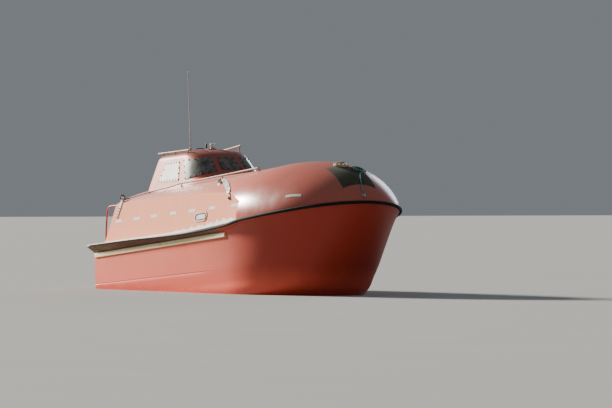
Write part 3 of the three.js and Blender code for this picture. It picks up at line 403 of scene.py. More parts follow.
class Paint:
    def __init__(self, name, **constants):
        self.material = bpy.data.materials.new(name)
        self.material.use_nodes = True
        self.tree = self.material.node_tree
        self.tree.nodes.clear()
        self.output = self.tree.nodes.new("ShaderNodeOutputMaterial")
        self.shader = self.tree.nodes.new("ShaderNodeBsdfPrincipled")
        self.tree.links.new(self.shader.outputs[0], self.output.inputs[0])
        for key, value in constants.items():
            self.shader.inputs[key.replace("_", " ")].default_value = value
        self.where = self.node("ShaderNodeTexCoord", out="Object")
        parts = self.node("ShaderNodeSeparateXYZ", sockets={0: self.where}, out=None)
        self.x, self.y, self.z = (Wire(self, parts.outputs[i]) for i in range(3))
        facing = self.node("ShaderNodeNewGeometry", out="Normal")
        parts = self.node("ShaderNodeSeparateXYZ", sockets={0: facing}, out=None)
        self.facingX, self.facingY, self.facingZ = (Wire(self, parts.outputs[i]) for i in range(3))

    def node(self, kind, settings=None, sockets=None, out=0):
        made = self.tree.nodes.new(kind)
        for key, value in (settings or {}).items():
            if key == "stops":
                while len(made.color_ramp.elements) < len(value):
                    made.color_ramp.elements.new(0.5)
                for element, (position, colour) in zip(made.color_ramp.elements, value):
                    element.position, element.color = position, colour
            else:
                setattr(made, key, value)
        for key, value in (sockets or {}).items():
            if isinstance(value, Wire):
                self.tree.links.new(value.socket, made.inputs[key])
            else:
                made.inputs[key].default_value = value
        return made if out is None else Wire(self, made.outputs[out])

    def spread(self, value, low, high):
        settings = {"interpolation_type": "SMOOTHSTEP"}
        return self.node("ShaderNodeMapRange", settings, {0: value, 1: low, 2: high, 3: 0.0, 4: 1.0})

    def mix(self, factor, first, second):
        first, second = ((*c, 1) if isinstance(c, tuple) and len(c) == 3 else c for c in (first, second))
        return self.node("ShaderNodeMix", {"data_type": "RGBA"}, {0: factor, 6: first, 7: second}, out=2)

    def noise(self, scale, detail=3.0, roughness=0.55, stretch=None, shift=0.0):
        vector = self.where
        if stretch:
            vector = self.node("ShaderNodeVectorMath", {"operation": "MULTIPLY"}, {0: vector, 1: stretch})
        if shift:
            sockets = {0: vector, 1: (shift, shift, shift)}
            vector = self.node("ShaderNodeVectorMath", {"operation": "ADD"}, sockets)
        sockets = {"Vector": vector, "Scale": scale, "Detail": detail, "Roughness": roughness}
        return self.node("ShaderNodeTexNoise", sockets=sockets)

    def cells(self, scale):
        sockets = {"Vector": self.where, "Scale": scale}
        return self.node("ShaderNodeTexVoronoi", sockets=sockets, out="Distance")

    def wear(self, **links):
        for key, value in links.items():
            self.tree.links.new(value.socket, self.shader.inputs[key.replace("_", " ")])

    def relief(self, heightWire, strength=0.3, distance=0.002):
        sockets = {"Height": heightWire, "Strength": strength, "Distance": distance}
        self.wear(Normal=self.node("ShaderNodeBump", sockets=sockets))


# Heights in metres over the waterline where the hull is damp and where a band lies above that, both kept a
# light red that is partly painted light reflected up from the water, and where it is grown over
waterline = {"ripple": 0.14, "wetAndBounce": (0.03, 0.12), "low": (0.1, 0.5), "growth": (-0.4, -0.08)}
# Bare primer along the foot of the side panels, by stations in metres
bareFoot = {"over": 0.726, "high": 0.1, "edge": (0.012, 0.018), "from": (2.6, 4.7), "to": (5.3, 5.7)}


# Weathered gelcoat: faded where the sun reaches it, streaked, stained and scratched. A look may also darken
# it towards the bow as painted shade, darken it on top as painted shade, pale it towards the stern as painted
# sunlight, bare it at its foot, or wet it at the waterline, where a light red stands partly for painted light
# reflected up from the water
def gelcoat(name, look):
    paint = Paint(name, Specular_IOR_Level=look.get("specular", 0.5))
    clouds = paint.noise(1.1, 4.0)
    patches = paint.noise(6.0, 5.0, shift=3.0)
    streaks = paint.noise(1.0, 4.0, stretch=(9.0, 9.0, 0.9))
    scratches = paint.noise(26.0, 6.0, 0.75, stretch=(0.5, 1.0, 1.6), shift=9.0)
    faded = paint.spread(clouds * 0.7 + paint.facingZ * 0.35, 0.25, 0.75)
    colour = paint.mix(faded, look["fresh"], look["faded"])
    colour = paint.mix(paint.spread(streaks, 0.5, 0.78) * look["streak"], colour, look["chalk"])
    colour = paint.mix(paint.spread(patches, 0.55, 0.8) * look["blotch"], colour, look["stain"])
    colour = paint.mix(paint.spread(scratches, 0.66, 0.74) * look["scratch"], colour, look["chalk"])
    rough = look["rough"] + (patches - 0.5) * 0.16
    # Darker red towards the bow: painted shade on the bow
    if "bow" in look:
        bowShade = paint.spread(paint.x + paint.z * 0.3 + (clouds - 0.5) * 0.8, look["bowShadeFrom"], look["bowShadeTo"])
        colour = paint.mix(bowShade * look["bowShadeShare"], colour, look["bow"])
    if "peel" in look:
        station = paint.x + midStation / 1000
        square = station * station
        bend = square * (sheer["curl"] / 1000) + square * station * (sheer["spring"] / 1000)
        foot = bareFoot["over"] + station * (sheer["rise"] / 1000) + bend
        ragged = paint.spread(paint.noise(7.0, 6.0, 0.7, shift=6.0), 0.35, 0.7)
        reach = paint.spread(station, *bareFoot["from"]) * (1 - paint.spread(station, *bareFoot["to"]))
        bare = 1 - paint.spread(paint.z - foot - ragged * reach * bareFoot["high"], *bareFoot["edge"])
        colour = paint.mix(bare, colour, look["peel"])
    # Paler towards the stern: painted sunlight on the aft part
    if "aft" in look:
        aftSunlight = 1 - paint.spread(paint.x + (clouds - 0.5) * 0.6, look["aftFrom"], look["aftTo"])
        colour = paint.mix(aftSunlight * look["aftSunlightShare"], colour, look["aft"])
    # Darker on upward faces: painted shade on the roof
    if "top" in look:
        colour = paint.mix(paint.spread(paint.facingZ, 0.45, 0.85) * 0.85, colour, look["top"])
    # Waterline band and the band above it: real wetness, with a light red that is partly painted light
    # reflected up from the water
    if "wetAndBounce" in look:
        ripple = paint.noise(5.0, 5.0, 0.6, stretch=(1, 1, 0.4)) - 0.5
        edge = paint.z + ripple * waterline["ripple"]
        wetAndBounce = 1 - paint.spread(edge, *waterline["wetAndBounce"])
        colour = paint.mix(wetAndBounce, colour, look["wetAndBounce"])
        lowBounce = 1 - paint.spread(edge, *waterline["low"])
        colour = paint.mix(lowBounce * (1 - wetAndBounce) * 0.8, colour, look["low"])
        growth = 1 - paint.spread(paint.z + patches * 0.1, *waterline["growth"])
        colour = paint.mix(growth * 0.55, colour, look["growth"])
        rough = rough * (1 - wetAndBounce * 0.5)
    paint.wear(Base_Color=colour, Roughness=rough)
    fine = paint.noise(90.0, 3.0)
    paint.relief(fine * 0.25 + scratches * 0.4 + paint.noise(3.0, 2.0) * 1.2, 0.35, 0.003)
    return paint.material


# Hull: the deep red towards the bow is painted shade; the light reds at the waterline and in the band above
# it are partly painted light reflected up from the water
hullLook = {
    "fresh": (0.8, 0.135, 0.07), "faded": (0.86, 0.22, 0.13), "chalk": (0.86, 0.34, 0.22),
    "stain": (0.66, 0.1, 0.05), "bow": (0.4, 0.034, 0.018), "bowShadeShare": 0.95, "bowShadeFrom": 0.3, "bowShadeTo": 3.0,
    "wetAndBounce": (0.85, 0.09, 0.05), "low": (0.9, 0.12, 0.065), "growth": (0.12, 0.05, 0.03),
    "rough": 0.5, "specular": 0.3, "streak": 0.16, "blotch": 0.16, "scratch": 0.1,
}
panelLook = {
    "fresh": (0.93, 0.27, 0.11), "faded": (0.97, 0.35, 0.155), "chalk": (0.97, 0.5, 0.3),
    "stain": (0.78, 0.2, 0.08), "peel": (0.95, 0.93, 0.88),
    "rough": 0.6, "specular": 0.22, "streak": 0.25, "blotch": 0.2, "scratch": 0.2,
}
# Whaleback: the darker red towards the bow is painted shade, the pale pink towards the stern is painted
# sunlight
domeLook = {
    "fresh": (0.78, 0.15, 0.1), "faded": (0.88, 0.27, 0.19), "chalk": (0.88, 0.46, 0.37),
    "stain": (0.52, 0.09, 0.05), "bow": (0.36, 0.085, 0.06), "bowShadeShare": 0.8, "bowShadeFrom": 1.5, "bowShadeTo": 3.3,
    "aft": (0.97, 0.5, 0.42), "aftSunlightShare": 0.75, "aftFrom": -0.6, "aftTo": 1.5,
    "rough": 0.27, "streak": 0.2, "blotch": 0.22, "scratch": 0.14,
}
# Tower: the dark red on its upward faces is painted shade on the roof
towerLook = {
    "fresh": (0.74, 0.125, 0.065), "faded": (0.82, 0.19, 0.105), "chalk": (0.96, 0.5, 0.32),
    "stain": (0.74, 0.2, 0.09), "top": (0.24, 0.085, 0.075),
    "rough": 0.45, "specular": 0.25, "streak": 0.25, "blotch": 0.2, "scratch": 0.2,
}
whiteLook = {
    "fresh": (0.78, 0.76, 0.7), "faded": (0.82, 0.8, 0.75), "chalk": (0.86, 0.85, 0.82),
    "stain": (0.5, 0.42, 0.3), "rough": 0.6, "streak": 0.3, "blotch": 0.5, "scratch": 0.4,
}
creamLook = {
    "fresh": (0.95, 0.84, 0.46), "faded": (0.96, 0.9, 0.62), "chalk": (0.97, 0.94, 0.78),
    "stain": (0.6, 0.48, 0.22), "rough": 0.65, "streak": 0.4, "blotch": 0.6, "scratch": 0.5,
}
greyLook = {
    "fresh": (0.3, 0.31, 0.3), "faded": (0.36, 0.37, 0.36), "chalk": (0.5, 0.5, 0.48),
    "stain": (0.17, 0.16, 0.14), "rough": 0.6, "streak": 0.2, "blotch": 0.4, "scratch": 0.4,
}
hullPaint = gelcoat("hullPaint", hullLook)
panelPaint = gelcoat("panelPaint", panelLook)
domePaint = gelcoat("domePaint", domeLook)
towerPaint = gelcoat("towerPaint", towerLook)
whitePaint = gelcoat("whitePaint", whiteLook)
creamPaint = gelcoat("creamPaint", creamLook)
greyPaint = gelcoat("greyPaint", greyLook)
print("paints ready")

rubberPaint = Paint("rubberPaint", Roughness=0.8, Specular_IOR_Level=0.3)
scuffs = rubberPaint.noise(14.0, 5.0, 0.7)
scuffed = rubberPaint.spread(scuffs, 0.5, 0.75)
rubberPaint.wear(Base_Color=rubberPaint.mix(scuffed, (0.006, 0.006, 0.007), (0.03, 0.029, 0.028)))
rubberPaint.relief(scuffs + rubberPaint.noise(80.0) * 0.3, 0.4, 0.002)


# Steel with rust that gathers in its noise: plain colour, rust share and how shiny the clean metal is
def steelPaint(name, clean, rust, share, rough=0.45, metal=0.0):
    paint = Paint(name, Metallic=metal)
    spots = paint.noise(38.0, 5.0, 0.7)
    runs = paint.noise(14.0, 4.0, 0.6, stretch=(1.6, 1.6, 0.5), shift=4.0)
    eaten = paint.spread(spots * 0.6 + runs * 0.5, 0.62 - share * 0.3, 0.78 - share * 0.3)
    sound = paint.mix(paint.spread(runs, 0.3, 0.7), clean, tuple(c * 0.78 for c in clean))
    paint.wear(Base_Color=paint.mix(eaten, sound, rust), Roughness=rough + eaten * (0.85 - rough))
    paint.relief(spots * 0.5 + eaten * 0.6, 0.4, 0.0012)
    return paint.material


rustBrown = (0.2, 0.07, 0.03)
thinRailSteel = steelPaint("thinRailSteel", (0.028, 0.016, 0.013), (0.08, 0.035, 0.02), 0.3, 0.6)
roofRailSteel = steelPaint("roofRailSteel", (0.55, 0.3, 0.2), rustBrown, 0.25, 0.5)
redPipeSteel = steelPaint("redPipeSteel", (0.45, 0.06, 0.045), rustBrown, 0.25, 0.5)
whiteSteel = steelPaint("whiteSteel", (0.78, 0.77, 0.73), rustBrown, 0.18, 0.5)
darkSteel = steelPaint("darkSteel", (0.035, 0.03, 0.03), (0.12, 0.05, 0.03), 0.35, 0.5)
bareSteel = steelPaint("bareSteel", (0.5, 0.49, 0.47), rustBrown, 0.25, 0.35, 0.9)
bittPaint = steelPaint("bittPaint", (0.7, 0.38, 0.3), rustBrown, 0.3, 0.5)
bronzeCast = steelPaint("bronzeCast", (0.55, 0.33, 0.12), (0.14, 0.2, 0.13), 0.15, 0.35, 0.95)
ironCast = steelPaint("ironCast", (0.05, 0.06, 0.06), rustBrown, 0.1, 0.6)


# Rope: three strands that show as geometry, with fibres and grime in the finish
def ropeFinish(name, clean, worn):
    paint = Paint(name, Roughness=0.85, Specular_IOR_Level=0.3)
    grime = paint.noise(9.0, 5.0, 0.65)
    fibres = paint.noise(420.0, 4.0, 0.7)
    strands = paint.mix(fibres, clean, tuple(c * 0.6 for c in clean))
    paint.wear(Base_Color=paint.mix(paint.spread(grime, 0.4, 0.7), strands, worn))
    paint.relief(fibres, 0.6, 0.0012)
    return paint.material


creamRope = ropeFinish("creamRope", (0.74, 0.7, 0.56), (0.42, 0.36, 0.24))
tealRope = ropeFinish("tealRope", (0.09, 0.36, 0.36), (0.5, 0.5, 0.4))

# Ropes on the bow

ropeMake = {
    "diameter": 0.016, "lay": 0.058, "sides": 15, "spacing": 0.005,
    "core": 0.93, "lobe": 0.1, "strands": 3, "endShare": 0.55,
}


def strandedRope(name, line, finish, node, slot, exitPoint):
    radius = ropeMake["diameter"] / 2
    line = [place(p) for p in line]
    even, carried = [line[0]], 0.0
    for a, b in zip(line, line[1:]):
        gone, total = ropeMake["spacing"] - carried, (b - a).length
        while gone <= total:
            even.append(a + (b - a) * gone / total)
            gone += ropeMake["spacing"]
        carried = total - (gone - ropeMake["spacing"])
    length = sum((b - a).length for a, b in zip(even, even[1:]))
    points, faces, done, sides = [], [], 0.0, ropeMake["sides"]
    for k, (point, way, side, other) in enumerate(framesAlong(even)):
        done += (even[k] - even[k - 1]).length if k else 0
        twist = 2 * math.pi * done / ropeMake["lay"]
        taper = ropeMake["endShare"] if k in (0, len(even) - 1) else 1.0
        for i in range(sides):
            angle = 2 * math.pi * i / sides
            swell = ropeMake["core"] + ropeMake["lobe"] * math.cos(ropeMake["strands"] * (angle - twist))
            lobe = radius * swell * taper
            points.append(point + (side * math.cos(angle) + other * math.sin(angle)) * lobe)
    for k in range(len(even) - 1):
        for i in range(sides):
            j = (i + 1) % sides
            faces.append((k * sides + i, k * sides + j, (k + 1) * sides + j, (k + 1) * sides + i))
    last = (len(even) - 1) * sides
    faces += [tuple(range(sides)), tuple(range(last, last + sides))]
    rope = finishPiece(meshFrom(name, points, faces), finish, slot=slot, replaces=node, sharp=80)
    knot = stopperKnot(name + "_knot", even[-1], (even[-1] - even[-3]).normalized(), finish, slot)
    print(name, "length", round(length, 2))


knotMake = {"ahead": 0.012, "across": 0.0052, "deep": 0.007, "radius": 0.0068, "turns": 72, "sides": 10}


# Overhand knot that ends a rope: a closed three-lobed tube, snug on the rope's end
def stopperKnot(name, end, way, finish, slot):
    side = way.orthogonal().normalized()
    other = way.cross(side)
    centre = end + way * knotMake["ahead"]
    turns, sides = knotMake["turns"], knotMake["sides"]
    line = []
    for k in range(turns):
        t = 2 * math.pi * k / turns
        a, b, c = math.sin(t) + 2 * math.sin(2 * t), math.cos(t) - 2 * math.cos(2 * t), -math.sin(3 * t)
        line.append(centre + (side * a + other * b) * knotMake["across"] + way * c * knotMake["deep"])
    points, faces = [], []
    for point, along, across, third in framesAlong(line):
        points += [point + (across * c + third * s) * knotMake["radius"] for c, s in circle(sides)]
    for k in range(turns):
        a, b = k * sides, (k + 1) % turns * sides
        faces += [(a + i, a + (i + 1) % sides, b + (i + 1) % sides, b + i) for i in range(sides)]
    return finishPiece(meshFrom(name, points, faces), finish, slot=slot, sharp=80)


# Unevenness of a coil: height, waves a turn and shift
coilWaves = [(5.0, 3, 0.4), (3.0, 5, 1), (1.2, 7.3, 0)]


# Turns of a coil on the whaleback: from and to radius, lift and angle, in millimetres and radians
def coilTurns(centre, start, end, steps):
    points = []
    for k in range(steps):
        t = k / steps
        radius, lift, angle = (start[i] + (end[i] - start[i]) * t for i in range(3))
        x, y = centre[0] + radius * math.cos(angle), centre[1] + radius * math.sin(angle)
        wave = sum(high * math.sin(often * angle + shift) for high, often, shift in coilWaves)
        x, y = x + wave * math.cos(angle), y + wave * math.sin(angle)
        points.append(overDome(x, y, lift))
    return points


fullTurn = 2 * math.pi
bittX = 6800


# A coil by its rows: radius, lift, turns so far and the number of points up to the next row
def coilOf(centre, start, rows):
    points = []
    for (radius, lift, turns, steps), (radius2, lift2, turns2, last) in zip(rows, rows[1:]):
        near, far = start + fullTurn * turns, start + fullTurn * turns2
        points += coilTurns(centre, (radius, lift, near), (radius2, lift2, far), steps)
    return points


painterRows = [
    (33, 17, 0, 14), (33, 17, 0.9, 12), (70, 19, 1.5, 8), (77, 9, 1.9, 48),
    (108, 9, 3.85, 8), (107, 25, 4.2, 46), (78, 25, 6.0, 0),
]
painterLine = coilOf((bittX, 0), 0.4, painterRows)
strandedRope(
    "painter_rope", smoothLine(painterLine, 3), creamRope, ["painter_coil"], "rope_cream",
    tuple(place(painterLine[0])),
)

bowLine = {
    "centre": (6960, 215), "start": 0.2, "lift": 10,
    "plan": [(7560, 2), (7520, 8), (7470, 20), (7400, 45), (7310, 80), (7220, 120), (7140, 165)],
    "rows": [(109, 9, 0, 48), (77, 9, 2.0, 8), (77, 25, 2.3, 44), (107, 25, 4.1, 0)],
}
tealLine = [overDome(x, y, bowLine["lift"]) for x, y in bowLine["plan"]]
tealLine += coilOf(bowLine["centre"], bowLine["start"], bowLine["rows"])
strandedRope(
    "bow_line", smoothLine(tealLine, 3), tealRope, ["bow_line_coil", "bow_line_run"], "rope_teal",
    tuple(place(tealLine[0])),
)
print("ropes laid")

# Hull: smooth bottom and sides with a lap at the knuckle, and an inner face

hullMake = {
    "stern": 26, "bow": 40, "rows": 5, "lap": 9, "lapFrom": 4000, "lapTo": 4700, "wall": 45, "keelWall": 20,
    "floorShares": [1, 0.9, 0.5, 0.2, 0, 0, 0],
}


def smoothRings(rings, steps):
    rows = []
    lines = [smoothLine([ring[i] for ring in rings], steps) for i in range(len(rings[0]))]
    for k in range(len(lines[0])):
        rows.append([tuple(line[k]) for line in lines])
    return rows


def lapped(ring, drop):
    moved = []
    for x, y, z in ring:
        share = min(max((hullMake["lapTo"] - x) / (hullMake["lapTo"] - hullMake["lapFrom"]), 0), 1)
        moved.append((x, y - math.copysign(hullMake["lap"] * share, y) if y else 0, z - drop * share))
    return moved


steps = (hullMake["stern"], hullMake["bow"])
outerRings = [hullRing(level, 0, *steps) for level in hullLevels]
lowerRows = smoothRings(outerRings[:5], hullMake["rows"])
lowerRows[-1] = lapped(lowerRows[-1], hullMake["lap"])
upperRows = smoothRings(outerRings[4:], hullMake["rows"])
inset = hullMake["wall"]
innerRows = []
for level, share in zip(hullLevels, hullMake["floorShares"]):
    innerRows.append(hullRing(level, hullMake["keelWall"] if share == 1 else inset, *steps, inset * share))
hullSkin = loft("hull_skin", lowerRows + upperRows + innerRows[::-1])
finishPiece(hullSkin, hullPaint, slot="hull_paint", replaces=["hull"], sharp=30)
print("hull ready")

# Canopy: whaleback with side recesses, aft face, cut for the tower, door and portholes

domeScales = [
    1, 0.997, 0.99, 0.98, 0.965, 0.945, 0.92, 0.89, 0.855, 0.81,
    0.76, 0.7, 0.63, 0.55, 0.46, 0.36, 0.25, 0.13, 0.05,
]
roughScales = [1, 0.985, 0.955, 0.91, 0.86, 0.79, 0.7, 0.59, 0.46, 0.3, 0.1]


def domeRing(scale, inset, sternSteps, bowSteps, lift=0):
    start, aft = aftFace["foot"] + inset * aftFace["slant"], aftFace["foot"]
    for tries in range(8):
        aft = start + aftFace["lean"] * (domeHeight(scale, aft, inset) - aftFace["footZ"])
    side, half = [], (canopyBeam - inset) * scale
    for i in range(sternSteps):
        x = aft + (sheer["centre"] - aft) * i / sternSteps
        side.append((x, -half, domeHeight(scale, x, inset) + lift))
    for i in range(bowSteps + 1):
        turn = math.pi / 2 * i / bowSteps
        x = sheer["centre"] + (sheer["reach"] - inset) * scale * math.sin(turn)
        side.append((x, -half * math.cos(turn), domeHeight(scale, x, inset) + lift))
    side[-1] = (side[-1][0], 0, side[-1][2])
    return bothSides(side)


def recessCut(inset, side):
    end, top = recess["end"] + inset, recess["topZ"] + inset
    outline = [
        (recess["from"], recess["low"]), (end, recess["low"]), (end, recess["endZ"] + inset),
        (recess["slantX"], recess["slantZ"] + inset), (recess["topX"], top), (recess["from"], top),
    ]
    near = [(x, side * (panelOut(x, z) - inset), z) for x, z in outline]
    far = [(x, side * recess["out"], z) for x, z in outline]
    return loft("recess", [near, far], ends="fan")


def canopyForm(inset, foot, scales, steps):
    rings = [domeRing(scale, inset, *steps, foot if i == 0 else 0) for i, scale in enumerate(scales)]
    return carve(loft("whaleback", rings), [recessCut(inset, -1), recessCut(inset, 1)])


def stadium(long, high, steps=10):
    points, reach = [], (long - high) / 2
    for end in (1, -1):
        for i in range(steps + 1):
            angle = math.pi * i / steps - math.pi / 2
            points.append((end * (reach + high / 2 * math.cos(angle)), end * high / 2 * math.sin(angle)))
    return points


def rectangle(x0, x1, y0, y1):
    return [(x0, y0), (x1, y0), (x1, y1), (x0, y1)]


def outOfPanel(side):
    return lambda x, z, depth: (x, side * (panelOut(x, z) + depth), z)


def byXZ(x, z, depth):
    return (x, depth, z)


def byYZ(y, z, depth):
    return (depth, y, z)


def byXY(x, y, depth):
    return (x, y, depth)


porthole = {
    "x": 4210, "z": 1194, "long": 415, "high": 120, "tilt": 0.07, "ring": 18, "lap": 14, "proud": 12,
    "glass": (-26, -18), "rim": 1, "lens": 16, "lensFrom": -18.5, "lensBack": 3, "cut": 60, "through": 120,
    "lipIn": 15, "lip": 6, "lipDepths": (13, 2), "boltsOut": 8, "boltSpacing": 75, "bolt": (6, 4),
}


# Outline of the porthole in stations and heights, grown all round
def portholeOutline(grow, steps=10):
    outline = stadium(porthole["long"] + 2 * grow, porthole["high"] + 2 * grow, steps)
    return [(porthole["x"] + a, porthole["z"] + b + porthole["tilt"] * a) for a, b in outline]


def portholeForm(name, grow, near, far, side):
    return prism(name, portholeOutline(grow), outOfPanel(side), near, far)


hands = ((-1, "starboard"), (1, "port"))
sternDoor = {"from": 120, "to": 740, "half": 300, "seal": 16, "sealRadius": 5, "through": 150}


def doorOutline(by):
    half = sternDoor["half"] - by
    return rectangle(-half, half, sternDoor["from"] + by, sternDoor["to"] - by)


canopyMake = {
    "wall": 42, "foot": 1, "floor": -300, "fineSteps": (34, 48), "roughSteps": (12, 16),
    "well": (1190, 2560, -430, 430), "wellFrom": 1300, "wellTo": 2400,
    "panelOff": 1, "panelFacing": 0.985, "panelTo": 5740, "aftFacing": -0.7, "aftTo": 2000,
}
canopySkin = canopyForm(0, canopyMake["foot"], domeScales, canopyMake["fineSteps"])
cutters = [
    canopyForm(canopyMake["wall"], canopyMake["floor"], roughScales, canopyMake["roughSteps"]),
    prism("well", rectangle(*canopyMake["well"]), byXY, canopyMake["wellFrom"], canopyMake["wellTo"]),
    prism("door", doorOutline(0), onAftFace, -sternDoor["through"], sternDoor["through"]),
]
cutters += [portholeForm("hole", 0, -porthole["through"], porthole["through"], side) for side, hand in hands]
carve(canopySkin, cutters)
canopySkin.name = "canopy_skin"
finishPiece(canopySkin, domePaint, slot="canopy_paint", replaces=["canopy"], sharp=28)

# The side panels and the aft face have the peach paint
canopySkin.data.materials.append(panelPaint)
for face in canopySkin.data.polygons:
    middle, facing = face.center, face.normal
    station, off = middle.x * 1000 + midStation, abs(middle.y) * 1000
    off -= panelOut(station, middle.z * 1000)
    onSide = abs(off) < canopyMake["panelOff"] and abs(facing.y) > canopyMake["panelFacing"]
    onAft = facing.x < canopyMake["aftFacing"] and station < canopyMake["aftTo"]
    if (onSide and station < canopyMake["panelTo"]) or onAft:
        face.material_index = 1
print("canopy ready")

# Tower: walls with a round front, a soft brow, a sloping roof, window openings and the roof hatch

# Levels from the foot over the window sill, window head, brow and roof edge to the top of the roof
towerColumns = ("z", "aft", "half", "front", "long", "skin")
towerRows = [
    (1440, 940, 700, 2440, 960, 0),
    (1745, 1000, 622, 2330, 700, 0),
    (2105, 1105, 530, 2130, 450, 0),
    (2160, 1130, 505, 2100, 395, 0.3),
    (2212, 1200, 430, 2030, 330, 0.8),
    (2246, 1330, 290, 1930, 260, 1),
    (2258, 1500, 120, 1850, 160, 1),
]
towerLevels = [dict(zip(towerColumns, row)) for row in towerRows]
towerMake = {
    "tilt": 0.055, "tiltStation": 2100, "wall": 38, "pane": 8, "lap": 34, "square": 2.5, "frontSteps": 22,
    "corner": 60, "cornerCurve": ((0, 1), (0.12, 0.5), (0.5, 0.12), (1, 0)), "sideSteps": 6,
    "sunk": 0.5, "cutSteps": (12, 24),
}


# Ring of the tower at a level, grown outwards by an offset: the roof's levels grow upwards instead
def towerRing(level, offset):
    grow = offset * (1 - 0.9 * level["skin"])
    z, half = level["z"] + offset * level["skin"], level["half"] + grow
    aft, long = level["aft"] - grow, level["long"] + grow
    corner = min(towerMake["corner"], half / 3)
    plan = [(aft + corner * a, corner * b - half) for a, b in towerMake["cornerCurve"]]
    for i in range(1, towerMake["sideSteps"]):
        plan.append((aft + corner + (level["front"] - aft - corner) * i / towerMake["sideSteps"], -half))
    power = 2 / towerMake["square"]
    for i in range(towerMake["frontSteps"] + 1):
        turn = math.pi / 2 * i / towerMake["frontSteps"]
        ahead, across = math.sin(turn) ** power, max(math.cos(turn), 0) ** power
        plan.append((level["front"] + long * ahead, -half * across))
    plan[-1] = (plan[-1][0], 0)
    return bothSides([(x, y, z + towerMake["tilt"] * (x - towerMake["tiltStation"])) for x, y in plan])


def towerForm(offset):
    rings = [towerRing(level, offset) for level in towerLevels]
    return loft("tower", rings[:2] + smoothRings(rings[2:], 4))


def byCorner(side):
    half = math.sqrt(0.5)
    return lambda across, z, depth: ((across + depth) * half, side * (across - depth) * -half, z)


def bySide(side):
    return lambda x, z, depth: (x, side * depth, z)


sidePane = [(1505, 2038), (2030, 2066), (2150, 1757), (1370, 1722)]
cornerPane = [(1155, 2090), (1646, 2130), (1830, 1894), (1254, 1770)]
frontPane = [(-145, 2122), (145, 2122), (180, 1932), (-180, 1932)]
windows = []
for side, hand in hands:
    windows.append({
        "name": "window_side_" + hand, "kind": "side", "outline": sidePane, "at": bySide(side),
        "near": 300, "far": 900,
    })
for side, hand in hands:
    windows.append({
        "name": "window_corner_" + hand, "kind": "corner", "outline": cornerPane, "at": byCorner(side),
        "near": 1300, "far": 2900,
    })
windows.append({
    "name": "window_front", "kind": "front", "outline": frontPane, "at": byYZ, "near": 2300, "far": 3200,
})


def drawnIn(outline, by):
    middle = [sum(p[k] for p in outline) / len(outline) for k in (0, 1)]
    return [(a + math.copysign(by, middle[0] - a), b + math.copysign(by, middle[1] - b)) for a, b in outline]


# Outline with its corners rounded by a radius
def roundedOutline(outline, radius, steps=4):
    points, count = [], len(outline)
    for i in range(count):
        corner = Vector(outline[i])
        before, after = Vector(outline[i - 1]) - corner, Vector(outline[(i + 1) % count]) - corner
        start, end = corner + before.normalized() * radius, corner + after.normalized() * radius
        for k in range(steps + 1):
            t = k / steps
            points.append(tuple(start * (1 - t) ** 2 + corner * 2 * t * (1 - t) + end * t * t))
    return points


def windowForm(window, by, radius):
    outline = roundedOutline(drawnIn(window["outline"], by), radius)
    return prism("opening", outline, window["at"], window["near"], window["far"])


roofHatch = {"from": 1250, "to": 1690, "half": 230, "gap": 6, "skin": 36, "low": 1950, "high": 2600}


def hatchForm(by):
    half, low, high = roofHatch["half"] - by, roofHatch["from"] + by, roofHatch["to"] - by
    return prism("hatch", rectangle(low, high, -half, half), byXY, roofHatch["low"], roofHatch["high"])


windowCorners = {"opening": 30, "pane": 45}
towerSkin = towerForm(0)
cutters = [
    towerForm(-towerMake["wall"]), hatchForm(0),
    canopyForm(-towerMake["sunk"], 0, roughScales, towerMake["cutSteps"]),
]
cutters += [windowForm(window, towerMake["lap"], windowCorners["opening"]) for window in windows]
carve(towerSkin, cutters)
towerSkin.name = "tower_skin"
finishPiece(towerSkin, towerPaint, slot="canopy_paint", replaces=["tower"], sharp=30)

lid = carve(towerForm(0), [towerForm(-roofHatch["skin"])])
carve(lid, [hatchForm(roofHatch["gap"])], "INTERSECT")
lid.name = "roof_lid_skin"
print("tower ready")

# Windows: clouded plastic panes over the openings, held by rows of bolts; the pale haze on the side and
# corner panes is partly real clouding and partly painted reflection of the bright sky

hazeTint = {"pale": (0.86, 0.86, 0.82), "grimy": (0.52, 0.52, 0.45), "rough": 0.45}


# Pane plastic that has gone cloudy, its pale haze partly painted reflection: how cloudy it is runs from one
# station to another along the boat
def panePaint(name, cloudAndReflectionFrom, cloudAndReflectionTo, stationFrom, stationTo):
    base = (0.12, 0.125, 0.1, 1)
    paint = Paint(name, Roughness=0.06, IOR=1.49, Transmission_Weight=0.85, Base_Color=base)
    haze = paint.tree.nodes.new("ShaderNodeBsdfPrincipled")
    haze.inputs["Roughness"].default_value = hazeTint["rough"]
    patches = paint.noise(5.0, 5.0, 0.65)
    wisps = paint.noise(3.0, 5.0, 0.7, stretch=(3.0, 3.0, 0.8), shift=5.0)
    tint = paint.mix(paint.spread(patches, 0.35, 0.7), hazeTint["pale"], hazeTint["grimy"])
    paint.tree.links.new(tint.socket, haze.inputs["Base Color"])
    along = paint.spread(paint.x, (stationFrom - midStation) / 1000, (stationTo - midStation) / 1000)
    cloudAndReflection = cloudAndReflectionFrom + along * (cloudAndReflectionTo - cloudAndReflectionFrom) + (wisps - 0.5) * 0.6 + (patches - 0.5) * 0.25
    blend = paint.node("ShaderNodeMixShader", sockets={0: cloudAndReflection.most(0.04).least(0.97)}, out=None)
    paint.tree.links.new(paint.shader.outputs[0], blend.inputs[1])
    paint.tree.links.new(haze.outputs[0], blend.inputs[2])
    paint.tree.links.new(blend.outputs[0], paint.output.inputs[0])
    return paint.material


# The side panes and the aft part of the corner panes are nearly all pale haze, partly painted reflection of
# the bright sky
sideGlass = panePaint("sideGlass", 0.95, 0.95, 1300, 2100)
cornerGlass = panePaint("cornerGlass", 1.0, 0.12, 2060, 2640)
frontGlass = panePaint("frontGlass", 0.12, 0.12, 2200, 2700)
paneFinish = {"side": sideGlass, "corner": cornerGlass, "front": frontGlass}

